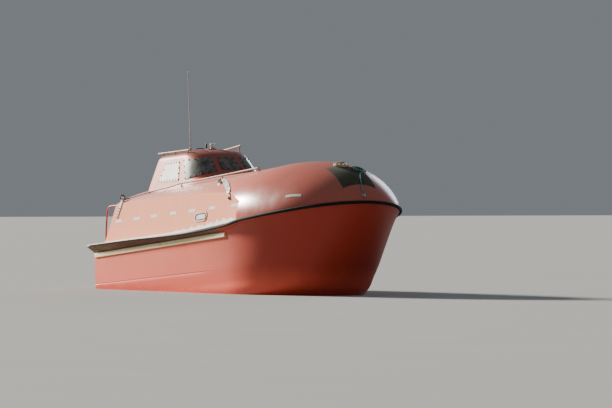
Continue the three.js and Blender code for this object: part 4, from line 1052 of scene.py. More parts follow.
towerOuter = towerForm(0)
outerPoints = [v.co for v in towerOuter.data.vertices]
towerTree = BVHTree.FromPolygons(outerPoints, [p.vertices for p in towerOuter.data.polygons])
bpy.data.objects.remove(towerOuter)
paneBolts = {"radius": 11, "high": 8, "inset": 17, "spacing": 104, "frontFrom": 3400, "frontTo": 2000}


# Small domed bolt head with a washer, on a surface point and its outward direction
def boltHead(name, foot, out, radius, high, sides=8):
    washer = [(radius * 1.45, -1.0), (radius * 1.45, 1.2), (radius, 1.4)]
    dome = [(radius, high * 0.6), (radius * 0.7, high), (radius * 0.2, high * 1.08)]
    return turned(name, foot, out, washer + dome, sides)


def alongOutline(outline, spacing):
    places = []
    for i in range(len(outline)):
        a, b = Vector(outline[i]), Vector(outline[(i + 1) % len(outline)])
        count = max(round((b - a).length / spacing), 1)
        places += [a + (b - a) * k / count for k in range(count)]
    return places


bolts = []
for window in windows:
    pane = carve(towerForm(1 + towerMake["pane"]), [towerForm(1)])
    carve(pane, [windowForm(window, 0, windowCorners["pane"])], "INTERSECT")
    pane.name = window["name"] + "_pane"
    finishPiece(pane, paneFinish[window["kind"]], slot="window_glass", replaces=[window["name"]], sharp=35)
    far, near = window["far"], window["near"]
    if window["kind"] == "front":
        far, near = paneBolts["frontFrom"], paneBolts["frontTo"]
    for a, b in alongOutline(drawnIn(window["outline"], paneBolts["inset"]), paneBolts["spacing"]):
        start, end = place(Vector(window["at"](a, b, far))), place(Vector(window["at"](a, b, near)))
        way = (end - start).normalized()
        hit, facing, index, away = towerTree.ray_cast(start, way, 3.0)
        if hit is None:
            continue
        facing = facing if facing.dot(way) < 0 else -facing
        foot = Vector((hit.x * 1000 + midStation, hit.y * 1000, hit.z * 1000))
        foot += facing * (towerMake["pane"] + 1)
        bolts.append(boltHead("bolt", foot, facing, paneBolts["radius"], paneBolts["high"]))
finishParts("pane_bolts", bolts, darkSteel, slot="porthole_trim", sharp=40)
print("windows ready")

# Roof lid and stern door, with hinges, handles and rubber seals


def roofAt(x):
    tilt = towerMake["tilt"] * (x - towerMake["tiltStation"])
    if x >= towerLevels[-1]["aft"]:
        return towerLevels[-1]["z"] + tilt
    upper = next(i for i, level in enumerate(towerLevels) if level["aft"] >= x)
    below, above = towerLevels[upper - 1], towerLevels[upper]
    return below["z"] + (above["z"] - below["z"]) * (x - below["aft"]) / (above["aft"] - below["aft"]) + tilt


lidGear = {
    "out": 13, "back": 10, "barrel": [(6, 0), (9, 2), (9, 58), (6, 60)], "barrelY": 130, "pinHalf": 5,
    "leafY": 160, "leafHalf": 25, "leafRun": 90, "leafUp": 9, "leafDown": 10, "leafRoot": 3,
    "boltSteps": (30, 62), "boltUp": 10, "bolt": (7, 5), "gripIn": 70, "gripRadius": 7,
    "grip": [(-70, -4), (-66, 34), (0, 40), (66, 34), (70, -4)],
}
roofRun = roofHatch["to"] - roofHatch["from"]
roofSlope = math.atan2(roofAt(roofHatch["to"]) - roofAt(roofHatch["from"]), roofRun)
roofUp = (-math.sin(roofSlope), 0, math.cos(roofSlope))
pinX, pinZ = roofHatch["from"] - lidGear["back"], roofAt(roofHatch["from"]) + lidGear["out"]
near, far = roofHatch["from"] + 2 * roofHatch["gap"], roofHatch["from"] + lidGear["leafRun"]
leaf = [
    (pinX, pinZ + lidGear["pinHalf"]), (far, roofAt(far) + lidGear["leafUp"]),
    (far, roofAt(far) - lidGear["leafDown"]), (near, roofAt(near) - lidGear["leafDown"]),
    (near, roofAt(near) + lidGear["leafRoot"]), (pinX, pinZ - lidGear["pinHalf"]),
]
lidParts = []
for side in (-1, 1):
    barrelFoot, middle = (pinX, side * lidGear["barrelY"], pinZ), side * lidGear["leafY"]
    lidParts.append(turned("barrel", barrelFoot, (0, side, 0), lidGear["barrel"], 16))
    lidParts.append(prism("leaf", leaf, byXZ, middle - lidGear["leafHalf"], middle + lidGear["leafHalf"]))
    for step in lidGear["boltSteps"]:
        x = roofHatch["from"] + step
        foot = (x, middle, roofAt(x) + lidGear["boltUp"])
        lidParts.append(boltHead("bolt", foot, roofUp, *lidGear["bolt"]))
gripX = roofHatch["to"] - lidGear["gripIn"]
grip = smoothLine([(gripX, y, roofAt(gripX) + up) for y, up in lidGear["grip"]], 6)
lidParts.append(tube("grip", grip, lidGear["gripRadius"]))
finishParts("roof_lid_gear", lidParts, darkSteel, body="roof_lid", slot="rail_paint", sharp=35)
finishPiece(lid, towerPaint, body="roof_lid", slot="canopy_paint", replaces=["tower_hatch"], sharp=30)


# Closed tube on a ring of points; its section keeps to a direction where one is given
def closedTube(name, line, radius, out=None):
    rings, across = [], None
    for k, point in enumerate(line):
        way = (line[(k + 1) % len(line)] - line[k - 1]).normalized()
        if out is not None:
            across, other = way.cross(out), out
        else:
            across = way.orthogonal() if across is None else across - way * across.dot(way)
            across = across.normalized()
            other = way.cross(across)
        rings.append([point + (across * c + other * s) * radius for c, s in circle(8)])
    return loft(name, rings, ends="loop")


sealLine = [Vector(onAftFace(a, b, 1)) for a, b in roundedOutline(doorOutline(sternDoor["seal"]), 40, 5)]
seal = closedTube("door_seal", sealLine, sternDoor["sealRadius"])
finishPiece(seal, rubberPaint.material, body="stern_lid", slot="fender_rubber", sharp=60)

doorGear = {
    "boltsY": (-205, 205), "boltsUp": (640, 672, 704), "boltsOff": 7, "bolt": (8, 6),
    "leversY": (-190, 190), "bossUp": 210,
    "boss": [(26, -1), (26, 6), (20, 9), (13, 10), (13, 26), (8, 28)],
    "lever": [(210, 20), (262, 22), (318, 18)], "handleUp": 430, "handleRadius": 8,
    "handle": [(-95, 0), (-95, 30), (-80, 42), (80, 42), (95, 30), (95, 0)],
    "field": (-200, 200, 270, 590), "fieldSteps": ((-1, 0), (4, 8), (6, 20)),
}
doorOut = Vector((slopeOut[0], 0, slopeOut[1]))
doorParts = []
for y in doorGear["boltsY"]:
    for s in doorGear["boltsUp"]:
        doorParts.append(boltHead("bolt", onAftFace(y, s, doorGear["boltsOff"]), doorOut, *doorGear["bolt"]))
for y in doorGear["leversY"]:
    doorParts.append(turned("boss", onAftFace(y, doorGear["bossUp"], 0), doorOut, doorGear["boss"], 18))
    lever = smoothLine([onAftFace(y, s, out) for s, out in doorGear["lever"]], 5)
    doorParts.append(tube("lever", lever, lambda t: 9 - 3 * t, 10))
handle = smoothLine([onAftFace(y, doorGear["handleUp"], out) for y, out in doorGear["handle"]], 5)
doorParts.append(tube("handle", handle, doorGear["handleRadius"], 10))
finishParts("door_gear", doorParts, darkSteel, body="stern_lid", slot="rail_paint", sharp=35)

# Raised moulded field in the middle of the door
field = []
left, right, low, high = doorGear["field"]
for lift, by in doorGear["fieldSteps"]:
    outline = roundedOutline(rectangle(left + by, right - by, low + by, high - by), 40, 5)
    field.append([onAftFace(a, b, lift) for a, b in outline])
field = loft("door_field", field, ends="fan")
finishPiece(field, panelPaint, body="stern_lid", slot="canopy_paint", sharp=50)
print("doors ready")

# Portholes: rings with bolts, rubber lips and a thick clouded lens, whose pale haze is partly painted
# reflection

ringPaint = steelPaint("ringPaint", (0.86, 0.5, 0.36), (0.3, 0.13, 0.07), 0.3, 0.5)
for side, hand in hands:
    out = Vector((0, side, panel["lean"]))
    ring = portholeForm("porthole_ring", porthole["ring"], 1, porthole["proud"], side)
    carve(ring, [portholeForm("hole", -porthole["lap"], -porthole["cut"], porthole["cut"], side)])
    ring.name = "porthole_ring_" + hand
    frameNode = "porthole_frame_" + hand
    finishPiece(ring, ringPaint, slot="porthole_trim", replaces=[frameNode], sharp=40, bevel=(0.004, 2))
    lips = []
    for depth in porthole["lipDepths"]:
        line = [Vector(outOfPanel(side)(x, z, depth)) for x, z in portholeOutline(-porthole["lipIn"], 12)]
        lips.append(closedTube("lip", line, porthole["lip"], out.normalized()))
    finishParts("porthole_gasket_" + hand, lips, rubberPaint.material, slot="porthole_trim", sharp=60)
    rim = portholeForm("rim", -porthole["rim"], *porthole["glass"], side)
    lensTo = porthole["proud"] - porthole["lensBack"]
    lens = portholeForm("lens", -porthole["lens"], porthole["lensFrom"], lensTo, side)
    # The lens takes the side pane finish: partly real clouding, partly painted reflection of the sky
    finishParts(
        "porthole_pane_" + hand, [rim, lens], sideGlass, slot="window_glass",
        replaces=["porthole_glass_" + hand], sharp=40,
    )
    heads = []
    for x, z in alongOutline(portholeOutline(porthole["boltsOut"], 8), porthole["boltSpacing"])[::2]:
        heads.append(boltHead("bolt", outOfPanel(side)(x, z, porthole["proud"]), out, *porthole["bolt"]))
    finishParts("porthole_bolts_" + hand, heads, bareSteel, slot="porthole_trim", sharp=40)

# Ledges, skid strips and fender

ledgeMake = {
    "rings": 57, "short": 12, "lap": 6, "under": 6, "innerFoot": 12, "back": 30,
    "brim": ((-12, 1), (-3, -3), (0, -9)), "lip": ((0, 8), (-4, 1), (-12, -2)),
}


def ledgeSkin():
    rings, count = [], ledgeMake["rings"]
    for i in range(count + 1):
        x = (ledge["run"] - ledgeMake["short"]) * i / count
        z = height(sheer, x)
        taper = max(0, (x - ledge["taperFrom"]) / (ledge["run"] - ledge["taperFrom"]))
        drop = edgeDrop(x)
        stripHeight = height(stripTop, x)
        foot = stripHeight + (z + ledge["bottom"] - drop - ledgeMake["under"] - stripHeight) * taper
        inner, edge = panelOut(x, z) - ledgeMake["lap"], ledgeEdge(x)
        brim, lip = z + ledge["top"] - drop, z + ledge["bottom"] - drop
        section = [(inner, z + ledge["plate"])]
        section += [(edge + out, brim + up) for out, up in ledgeMake["brim"]]
        section += [(edge + out, lip + up) for out, up in ledgeMake["lip"]]
        section.append((hullSide(x, foot) - ledgeMake["innerFoot"], foot))
        section += [(hullSide(x, z - 2) - ledgeMake["back"], z + 1), (inner, z + 1)]
        rings.append([(x, -y, up) for y, up in section])
    return loft("ledge", rings, ends="fan")


# Starboard piece and its mirrored port copy, named and finished
def finishPair(starboard, stem, node, material, slot):
    port = mirrorCopy(starboard, stem + "_port_skin")
    starboard.name = stem + "_starboard_skin"
    for piece, hand in ((starboard, "starboard"), (port, "port")):
        finishPiece(piece, material, slot=slot, replaces=[node + "_" + hand], sharp=50)


# Ledge paint: white on top, worn through to the red and grey below near the bow; underneath, olive brown
# painted shade, deeper amidships
ledgeLook = {
    "white": (0.82, 0.79, 0.73), "grime": (0.62, 0.56, 0.47), "worn": (0.45, 0.3, 0.22),
    "shadedOlive": (0.24, 0.17, 0.09), "shadedBrown": (0.1, 0.06, 0.035), "shadedMidships": (0.09, 0.035, 0.022),
    "fore": (0.55, 0.075, 0.04),
}
ledgePaint = Paint("ledgePaint", Specular_IOR_Level=0.4)
flakes = ledgePaint.noise(16.0, 7.0, 0.72)
grime = ledgePaint.noise(4.0, 4.0, shift=2.0)
upward = ledgePaint.spread(ledgePaint.facingZ, -0.25, 0.1)
bare = ledgePaint.spread(flakes + ledgePaint.spread(ledgePaint.x, -1.2, 1.6) * 0.14, 0.6, 0.63)
top = ledgePaint.mix(ledgePaint.spread(grime, 0.35, 0.75), ledgeLook["white"], ledgeLook["grime"])
top = ledgePaint.mix(bare * 0.85, top, ledgeLook["worn"])
shadedMidships = ledgePaint.spread(ledgePaint.x, -3.2, -2.2) * (1 - ledgePaint.spread(ledgePaint.x, 0.2, 1.3))
# Underside colours are painted shade under the overhang: olive and brown, darker amidships, turning red near
# the bow
under = ledgePaint.mix(ledgePaint.spread(flakes, 0.4, 0.65), ledgeLook["shadedOlive"], ledgeLook["shadedBrown"])
under = ledgePaint.mix(shadedMidships * 0.75, under, ledgeLook["shadedMidships"])
toFore = ledgePaint.spread(ledgePaint.x + (flakes - 0.5) * 0.3, 1.05, 1.45)
under = ledgePaint.mix(toFore, under, ledgeLook["fore"])
ledgePaint.wear(Base_Color=ledgePaint.mix(upward, under, top), Roughness=0.55 + flakes * 0.25)
ledgePaint.relief(flakes * 0.6 + bare * 0.8, 0.5, 0.002)
finishPair(ledgeSkin(), "ledge", "ledge", ledgePaint.material, "ledge_paint")

skid = {
    "from": 50, "to": 5218, "high": 70, "proud": 26, "below": 2, "rings": 53, "deep": 60,
    "edge": ((5, 0), (1, 2), (0, 6)), "screws": 16, "screwIn": 120, "screw": (8, 4),
}


def skidSkin():
    rings, count = [], skid["rings"]
    for i in range(count + 1):
        x = skid["from"] + (skid["to"] - skid["from"]) * i / count
        top = height(stripTop, x) - skid["below"]
        outer = hullSide(x, top - skid["high"] / 2) + skid["proud"]
        low = top - skid["high"]
        section = [(outer - skid["deep"], top)] + [(outer - back, top - down) for back, down in skid["edge"]]
        section += [(outer - back, low + up) for back, up in reversed(skid["edge"])]
        section.append((outer - skid["deep"], low))
        rings.append([(x, -y, z) for y, z in section])
    return loft("skid", rings, ends="fan")


finishPair(skidSkin(), "skid", "skid_strip", creamPaint, "strip_paint")
screws, screwRun = [], skid["to"] - skid["from"] - 2 * skid["screwIn"]
for i in range(skid["screws"] + 1):
    x = skid["from"] + skid["screwIn"] + screwRun * i / skid["screws"]
    z = height(stripTop, x) - skid["below"] - skid["high"] / 2
    for side in (-1, 1):
        foot = (x, side * (hullSide(x, z) + skid["proud"]), z)
        screws.append(boltHead("bolt", foot, (0, side, 0), *skid["screw"]))
finishParts("skid_screws", screws, creamPaint, slot="strip_paint", sharp=40)

fender = {
    "from": 130, "straightTo": 5700, "roundFrom": 5760, "straightSteps": 70, "roundSteps": 56, "thinTo": 2600,
    "thickFrom": 5500, "thin": 18, "thick": 47, "depth": 30, "thinShare": 0.55, "growShare": 0.45,
    "thinDrop": 6, "off": 1, "bends": (-1.2, -0.8, -0.4, 0, 0.4, 0.8, 1.2),
}


def fenderPath():
    run, path = fender["straightTo"] - fender["from"], []
    for i in range(fender["straightSteps"] + 1):
        x = fender["from"] + run * i / fender["straightSteps"]
        path.append((x, -ledgeEdge(x)))
    for i in range(fender["roundSteps"] + 1):
        turn = math.pi / 2 * (i / fender["roundSteps"])
        x, y = sheer["centre"] + sheer["reach"] * math.sin(turn), -sheer["beam"] * math.cos(turn)
        if x > fender["roundFrom"]:
            path.append((x, y))
    path[-1] = (path[-1][0], 0)
    return path + [(x, -y) for x, y in reversed(path[:-1])]


def fenderSkin():
    path, rings = fenderPath(), []
    for i, (x, y) in enumerate(path):
        before, after = path[max(i - 1, 0)], path[min(i + 1, len(path) - 1)]
        way = (Vector(after) - Vector(before)).normalized()
        grow = min(max((x - fender["thinTo"]) / (fender["thickFrom"] - fender["thinTo"]), 0), 1)
        halfHigh = (fender["thin"] + (fender["thick"] - fender["thin"]) * grow) / 2
        depth = fender["depth"] * (fender["thinShare"] + fender["growShare"] * grow)
        z = height(sheer, x) - fender["thinDrop"] * (1 - grow) - edgeDrop(x)
        section = [(0, -halfHigh), (0.5 * depth, -halfHigh)]
        section += [(depth * (0.5 + 0.5 * math.cos(a)), halfHigh * math.sin(a)) for a in fender["bends"]]
        section += [(0.5 * depth, halfHigh), (0, halfHigh)]
        ring = []
        for out, up in section:
            ring.append((x + way.y * (out + fender["off"]), y - way.x * (out + fender["off"]), z + up))
        rings.append(ring)
    return loft("fender_skin", rings, ends="fan")


finishPiece(fenderSkin(), rubberPaint.material, slot="fender_rubber", replaces=["bow_fender"], sharp=50)

# Rails: bent pipes with flanged feet

grabRail = {
    "plan": [(4880, -470), (4370, -560), (3910, -650), (3260, -750), (2680, -800)],
    "up": 52, "radius": 15, "footRadius": 11, "footHigh": 50,
}
thinRail = {
    "plan": [(2680, -800), (2200, -830), (1650, -895), (1200, -960), (860, -1010)],
    "ups": (52, 24, 24, 24, 24), "radius": 10, "footRadius": 6, "footHigh": 23,
}


def footFlange(x, y, pipe, high):
    profile = [(pipe * 2.4, -4), (pipe * 2.4, 4), (pipe * 1.25, 7), (pipe, 9), (pipe, high)]
    return turned("foot", Vector((x, y, domeAt(x, y))), domeUp(x, y), profile, 18)


# Grab rail finish: brown below, darker along its top
grabPaint = Paint("grabPaint", Roughness=0.5)
flecks = grabPaint.noise(30.0, 5.0, 0.7)
topSide = grabPaint.spread(grabPaint.facingZ + (flecks - 0.5) * 0.5, 0.35, 0.6)
grabPaint.wear(Base_Color=grabPaint.mix(topSide, (0.4, 0.22, 0.14), (0.13, 0.05, 0.03)))
grabPaint.relief(flecks, 0.4, 0.0015)
for side, hand in ((1, "starboard"), (-1, "port")):
    line = [overDome(x, y * side, grabRail["up"]) for x, y in grabRail["plan"]]
    bars = [tube("bar", smoothLine(line, 10), grabRail["radius"], 14)]
    for x, y in grabRail["plan"][::2]:
        bars.append(footFlange(x, y * side, grabRail["footRadius"], grabRail["footHigh"]))
    finishParts(
        "grab_bar_" + hand, bars, grabPaint.material, slot="rail_paint",
        replaces=["grab_rail_" + hand], sharp=40,
    )
    line = [overDome(x, y * side, up) for (x, y), up in zip(thinRail["plan"], thinRail["ups"])]
    bars = [tube("bar", smoothLine(line, 10), thinRail["radius"], 10)]
    for x, y in thinRail["plan"][2::2]:
        bars.append(footFlange(x, y * side, thinRail["footRadius"], thinRail["footHigh"]))
    finishParts("thin_bar_" + hand, bars, thinRailSteel, slot="rail_paint", sharp=40)

roofRails = [
    {
        "hand": "starboard", "y": -455, "line": [(1010, 2188), (1500, 2212), (2200, 2247)],
        "posts": [(1200, 2197), (1650, 2219), (2150, 2244)],
    },
    {
        "hand": "port", "y": 430, "line": [(1200, 2215), (1700, 2255), (2240, 2318)],
        "posts": [(1300, 2222), (1750, 2260), (2190, 2312)],
    },
]
railMake = {
    "radius": 13, "above": 2800, "reach": 2.0, "flange": [(24, -6), (24, 3), (12, 6), (10, 8)], "post": 10,
}
for rail in roofRails:
    y = rail["y"]
    bars = [tube("bar", smoothLine([(x, y, z) for x, z in rail["line"]], 10), railMake["radius"], 12)]
    for x, z in rail["posts"]:
        above = place((x, y, railMake["above"]))
        foot = towerTree.ray_cast(above, Vector((0, 0, -1)), railMake["reach"])[0].z * 1000
        profile = railMake["flange"] + [(railMake["post"], z - foot)]
        bars.append(turned("post", (x, y, foot), (0, 0, 1), profile, 14))
    finishParts(
        "roof_bar_" + rail["hand"], bars, roofRailSteel, slot="rail_paint",
        replaces=["roof_rail_" + rail["hand"]], sharp=40,
    )

sternPipe = {
    "foot": (318, 1083), "radius": 15, "over": 4, "flange": [(30, 0), (30, 9), (27, 12), (19, 14), (17, 30)],
    "line": [(322, 1080, 1000), (340, 1070, 1230), (385, 1062, 1318), (480, 1055, 1345), (700, 1045, 1350)],
}
footX, footY = sternPipe["foot"]
footZ = height(sheer, footX) + ledge["plate"] + sternPipe["over"]
for side, hand in hands:
    points = [(footX, footY, footZ)] + sternPipe["line"]
    line = smoothLine([(x, y * side, z) for x, y, z in points], 9)
    pipe, node = tube("pipe", line, sternPipe["radius"], 14), "stern_rail_" + hand
    finishParts("stern_pipe_" + hand, [pipe], redPipeSteel, slot="pipe_paint", replaces=[node], sharp=40)
    foot = (footX, footY * side, footZ)
    flange = turned("stern_pipe_foot_" + hand, foot, (0, 0, 1), sternPipe["flange"], 20)
    finishPiece(flange, whiteSteel, slot="pipe_paint", sharp=40)
print("rails ready")

# Forward lifting straps: a bar bolted to the side panel, bent over its edge and up the shoulder, with
# an eye on a pad outboard of it. Rows on the panel are station, height and half width, on the dome
# station, y and half width. A bolt is a frame's number and its place across.

strap = {
    "thick": 14, "deep": 12, "broken": 4, "edgeY": -1100,
    "onPanel": [(5253, 1473, 26), (5245, 1484, 34), (5225, 1515, 35), (5205, 1545, 36)],
    "edge": (5183, 1571, 37),
    "onDome": [(5150, -1117, 38), (4900, -1026, 38), (4600, -916, 38), (4300, -806, 32), (4050, -715, 22)],
    "eye": (4400, -925, 1742), "eyeRadius": 38, "eyeTube": 12,
    "padFrom": 4362, "padTo": 4438, "padOuter": -950, "padInner": -840, "padHigh": 20, "padDeep": 15,
    "padSteps": 6, "padEnds": 4, "padCorner": 5,
    "nut": [(26, 12), (26, 17), (17, 18), (17, 30), (10, 33), (3, 34)],
    "bolts": ((0, -12), (2, 14), (3, -12), (6, 14), (8, -10)), "bolt": (10, 9, 10),
}
panelUp = Vector((0, -1, -panel["lean"])).normalized()


# Section of a flat bar with its upper edges broken
def barSection(half, deep, thick, broken):
    upper = [(half, thick - broken), (half - 3, thick), (3 - half, thick), (-half, thick - broken)]
    return [(-half, -deep), (half, -deep)] + upper


def strapFrames():
    line = [(Vector(onPanel(x, z, 0)), panelUp, half) for x, z, half in strap["onPanel"]]
    x, z, half = strap["edge"]
    line.append((Vector(onPanel(x, z, 0)), (panelUp + domeUp(x, strap["edgeY"])).normalized(), half))
    rows = strap["onDome"]
    for k, row in enumerate(rows[:-1]):
        for t in (0, 0.25, 0.5, 0.75):
            x, y, half = (v + (w - v) * t for v, w in zip(row, rows[k + 1]))
            line.append((Vector((x, y, domeAt(x, y))), domeUp(x, y), half))
    x, y, half = rows[-1]
    line.append((Vector((x, y, domeAt(x, y))), domeUp(x, y), half))
    frames = []
    for k, (point, up, half) in enumerate(line):
        way = line[min(k + 1, len(line) - 1)][0] - line[max(k - 1, 0)][0]
        frames.append((point, up, up.cross(way).normalized(), half))
    return frames


def forwardStrap():
    rings = []
    for point, up, across, half in strapFrames():
        section = barSection(half, strap["deep"], strap["thick"], strap["broken"])
        rings.append([point + across * a + up * b for a, b in section])
    bar, rings, count = loft("strap", rings, ends="fan"), [], strap["padSteps"]
    for k in range(count + 1):
        x = strap["padFrom"] + (strap["padTo"] - strap["padFrom"]) * k / count
        high = strap["padHigh"] - (strap["padEnds"] if k in (0, count) else 0)
        outer, inner, corner = strap["padOuter"], strap["padInner"], strap["padCorner"]
        section = [(outer, -strap["padDeep"]), (inner, -strap["padDeep"]), (inner, high)]
        section += [(outer + corner, high), (outer, high - corner)]
        rings.append([(x, y, domeAt(x, y) + up) for y, up in section])
    return joinPieces("strap", [bar, loft("pad", rings, ends="fan")])


def strapBolts():
    frames = strapFrames()
    point, up, across, half = frames[1]
    heads = [turned("bolt", point, up, strap["nut"], 12)]
    for k, side in strap["bolts"]:
        point, up, across, half = frames[k]
        heads.append(boltHead("bolt", point + across * side + up * strap["thick"], up, *strap["bolt"]))
    return joinPieces("bolts", heads)


def strapEye():
    return ringPiece("eye", strap["eye"], (0, 1, 0), strap["eyeRadius"], strap["eyeTube"], 36, 12)


boltRust = steelPaint("boltRust", (0.12, 0.08, 0.06), rustBrown, 0.5)
strapKinds = (
    ("bar", forwardStrap, whiteSteel), ("eye", strapEye, darkSteel), ("bolts", strapBolts, boltRust),
)
for side, hand in ((1, "starboard"), (-1, "port")):
    for kind, make, finish in strapKinds:
        made = make()
        made.name = "strap_" + kind + "_" + hand
        if side == -1:
            made.data.transform(Matrix.Scale(-1, 4, (0, 1, 0)))
            made.data.flip_normals()
        replaces = ["strap_forward_" + hand] if kind == "bar" else ()
        finishPiece(made, finish, slot="strap_paint", replaces=replaces, sharp=35)

aftStrap = {
    "rows": [(772, 1150, 28), (812, 1232, 35), (860, 1330, 44), (884, 1378, 40), (905, 1420, 34)],
    "thick": 14, "broken": 3,
    "lug": [(872, 1395), (950, 1395), (936, 1499), (888, 1499)], "lugFrom": 1030, "lugTo": 1070,
    "eye": (912, 1050, 1486), "eyeRadius": 36, "eyeTube": 10,
    "bolts": ((784, 1170), (806, 1215), (828, 1260), (850, 1305)), "bolt": (10, 8),
}
for side, hand in hands:
    rings = []
    for x, z, half in aftStrap["rows"]:
        ring = []
        for a, b in barSection(half, 0, aftStrap["thick"], aftStrap["broken"]):
            ring.append((x + a, side * (panelOut(x + a, z) + b), z))
        rings.append(ring)
    outline = roundedOutline(aftStrap["lug"], 14)
    lug = prism("lug", outline, bySide(side), aftStrap["lugFrom"], aftStrap["lugTo"])
    parts = [loft("bar", rings, ends="fan"), lug]
    finishParts(
        "aft_strap_" + hand, parts, whiteSteel, slot="strap_paint", replaces=["strap_aft_" + hand],
        sharp=35, bevel=(0.002, 1),
    )
    x, y, z = aftStrap["eye"]
    centre = (x, side * y, z)
    eye = ringPiece("aft_eye_" + hand, centre, (1, 0, 0), aftStrap["eyeRadius"], aftStrap["eyeTube"], 32, 12)
    finishPiece(eye, darkSteel, slot="strap_paint", sharp=60)
    heads = []
    for x, z in aftStrap["bolts"]:
        foot = outOfPanel(side)(x, z, aftStrap["thick"])
        heads.append(boltHead("bolt", foot, (0, side, panel["lean"]), *aftStrap["bolt"]))
    finishParts("aft_strap_bolts_" + hand, heads, darkSteel, slot="strap_paint", sharp=40)

# Bitt, bow eye, antenna and lamp

bittMake = {
    "base": [(55, 0), (55, 17), (50, 21), (30, 22), (26, 26)], "baseAt": -14,
    "post": [(24, 0), (24, 50), (21, 56), (10, 58)], "postAt": 4,
    "cross": [(6, 0), (11, 3), (11, 120), (6, 124)], "crossAt": (-62, 44), "crossWay": (0, 124, 6),
}
z = domeAt(bittX, 0)
crossY, crossZ = bittMake["crossAt"]
parts = [
    turned("base", (bittX, 0, z + bittMake["baseAt"]), (0, 0, 1), bittMake["base"], 28),
    turned("post", (bittX, 0, z + bittMake["postAt"]), (0, 0, 1), bittMake["post"], 24),
    turned("cross", (bittX, crossY, z + crossZ), bittMake["crossWay"], bittMake["cross"], 16),
]
finishParts("bow_bitt_cast", parts, bittPaint, slot="bitt_paint", replaces=["bow_bitt"], sharp=40)

bowEye = {
    "plateX": 7530, "ringX": 7608, "z": 1535, "radius": 34, "tube": 8,
    "plate": [(34, 0), (34, 60), (30, 66), (12, 67)],
}
plate = turned("bow_eye_plate", (bowEye["plateX"], 0, bowEye["z"]), (1, 0, 0), bowEye["plate"], 28)
ringCentre = (bowEye["ringX"], 0, bowEye["z"])
ring = ringPiece("bow_eye_ring", ringCentre, (0, 1, 0), bowEye["radius"], bowEye["tube"], 36, 12)
finishParts("bow_eye_steel", [plate, ring], bareSteel, slot="eye_steel", replaces=["bow_eye"], sharp=40)

antenna = {
    "x": 2020, "y": -350, "aft": 60, "out": 22, "top": 3510, "from": 2280, "base": 2284, "steps": 24,
    "foot": [(22, 2120), (22, 2215), (26, 2216), (26, 2222), (18, 2226)], "neck": [(16, 2279), (12, 2290)],
    "coils": 7, "coilFrom": 2228, "coil": ((18, 0), (15, 3)), "coilRise": 7,
    "ferrule": [(10, 0), (13, 2), (13, 34), (10, 36)], "ferruleX": -4, "ferruleZ": 2330,
    "ferruleWay": (-0.05, -0.018, 1),
}
profile = list(antenna["foot"])
for k in range(antenna["coils"]):
    low = antenna["coilFrom"] + k * antenna["coilRise"]
    profile += [(radius, low + up) for radius, up in antenna["coil"]]
profile += antenna["neck"]
whip = []
for k in range(antenna["steps"] + 1):
    t = k / antenna["steps"]
    z = antenna["from"] + (antenna["top"] - antenna["base"]) * t
    whip.append((antenna["x"] - antenna["aft"] * t, antenna["y"] - antenna["out"] * t, z))
ferruleAt = (antenna["x"] + antenna["ferruleX"], antenna["y"], antenna["ferruleZ"])
parts = [
    turned("foot", (antenna["x"], antenna["y"], 0), (0, 0, 1), profile, 18),
    tube("whip", whip, lambda t: 9.6 - 4 * t, 10),
    turned("ferrule", ferruleAt, antenna["ferruleWay"], antenna["ferrule"], 12),
]
whipLook = {**whiteLook, "fresh": (0.45, 0.42, 0.42), "faded": (0.6, 0.56, 0.55)}
antennaPaint = gelcoat("antennaPaint", whipLook)
finishParts("antenna_whip", parts, antennaPaint, slot="antenna_paint", replaces=["antenna"], sharp=40)

lampMake = {
    "at": (2090, 0, 2240), "ribs": 9, "foot": [(34, 26), (30, 36), (40, 37)],
    "dome": [(42, 96), (36, 106), (20, 111), (3, 112)],
    "rib": ((43, 40), (43, 43), (40.5, 44), (40.5, 45.5)), "ribRise": 6,
    "plate": (1960, 2140, -80, 50), "plateFrom": 2240, "plateTo": 2266,
    "post": [(18, 0), (18, 6), (14, 8), (14, 84), (10, 90)], "postAt": (1990, -60, 2262),
}
profile = list(lampMake["foot"])
for k in range(lampMake["ribs"]):
    profile += [(radius, up + k * lampMake["ribRise"]) for radius, up in lampMake["rib"]]
profile += lampMake["dome"]
lampGlass = Paint("lampGlass", Roughness=0.2, Transmission_Weight=0.25, IOR=1.45)
veins = lampGlass.noise(20.0, 3.0)
lampGlass.wear(Base_Color=lampGlass.mix(veins, (0.9, 0.9, 0.88), (0.75, 0.75, 0.7)))
lampGlass.relief(veins, 0.2, 0.001)
lamp = turned("roof_lamp", lampMake["at"], (0, 0, 1), profile, 32)
finishPiece(lamp, lampGlass.material, slot="lamp_plastic", replaces=["beacon"], sharp=35)
outline = roundedOutline(rectangle(*lampMake["plate"]), 20)
parts = [
    prism("plate", outline, byXY, lampMake["plateFrom"], lampMake["plateTo"]),
    turned("post", lampMake["postAt"], (0, 0, 1), lampMake["post"], 16),
]
finishParts("roof_lamp_foot", parts, darkSteel, slot="lamp_plastic", sharp=40)
print("gear ready")

# Helm seat: a post with a flange, a tray, and a crowned vinyl cushion and back with piped edges

seat = {
    "cushion": ((1300, 1730), (-220, 220), (1112, 1200)), "back": ((1230, 1310), (-210, 210), (1142, 1720)),
    "x": 1480, "floor": 621, "flange": [(95, 0), (95, 10), (60, 16), (55, 22)],
    "post": [(55, 900), (46, 904), (46, 1085), (50, 1090), (50, 1112)],
    "tray": (1330, 1700, -185, 185), "trayFrom": 1092, "trayTo": 1113,
    "arm": [(1400, 1100), (1290, 1108), (1262, 1160), (1266, 1300)], "armY": 120, "armRadius": 12,
}
padMake = {
    "edge": 0.35, "full": 0.65, "crown": 0.45, "seam": 0.1, "seamAt": 0.34, "seamWide": 0.05, "corner": 0.05,
    "pull": 0.03, "under": 0.8, "fill": 0.8,
}


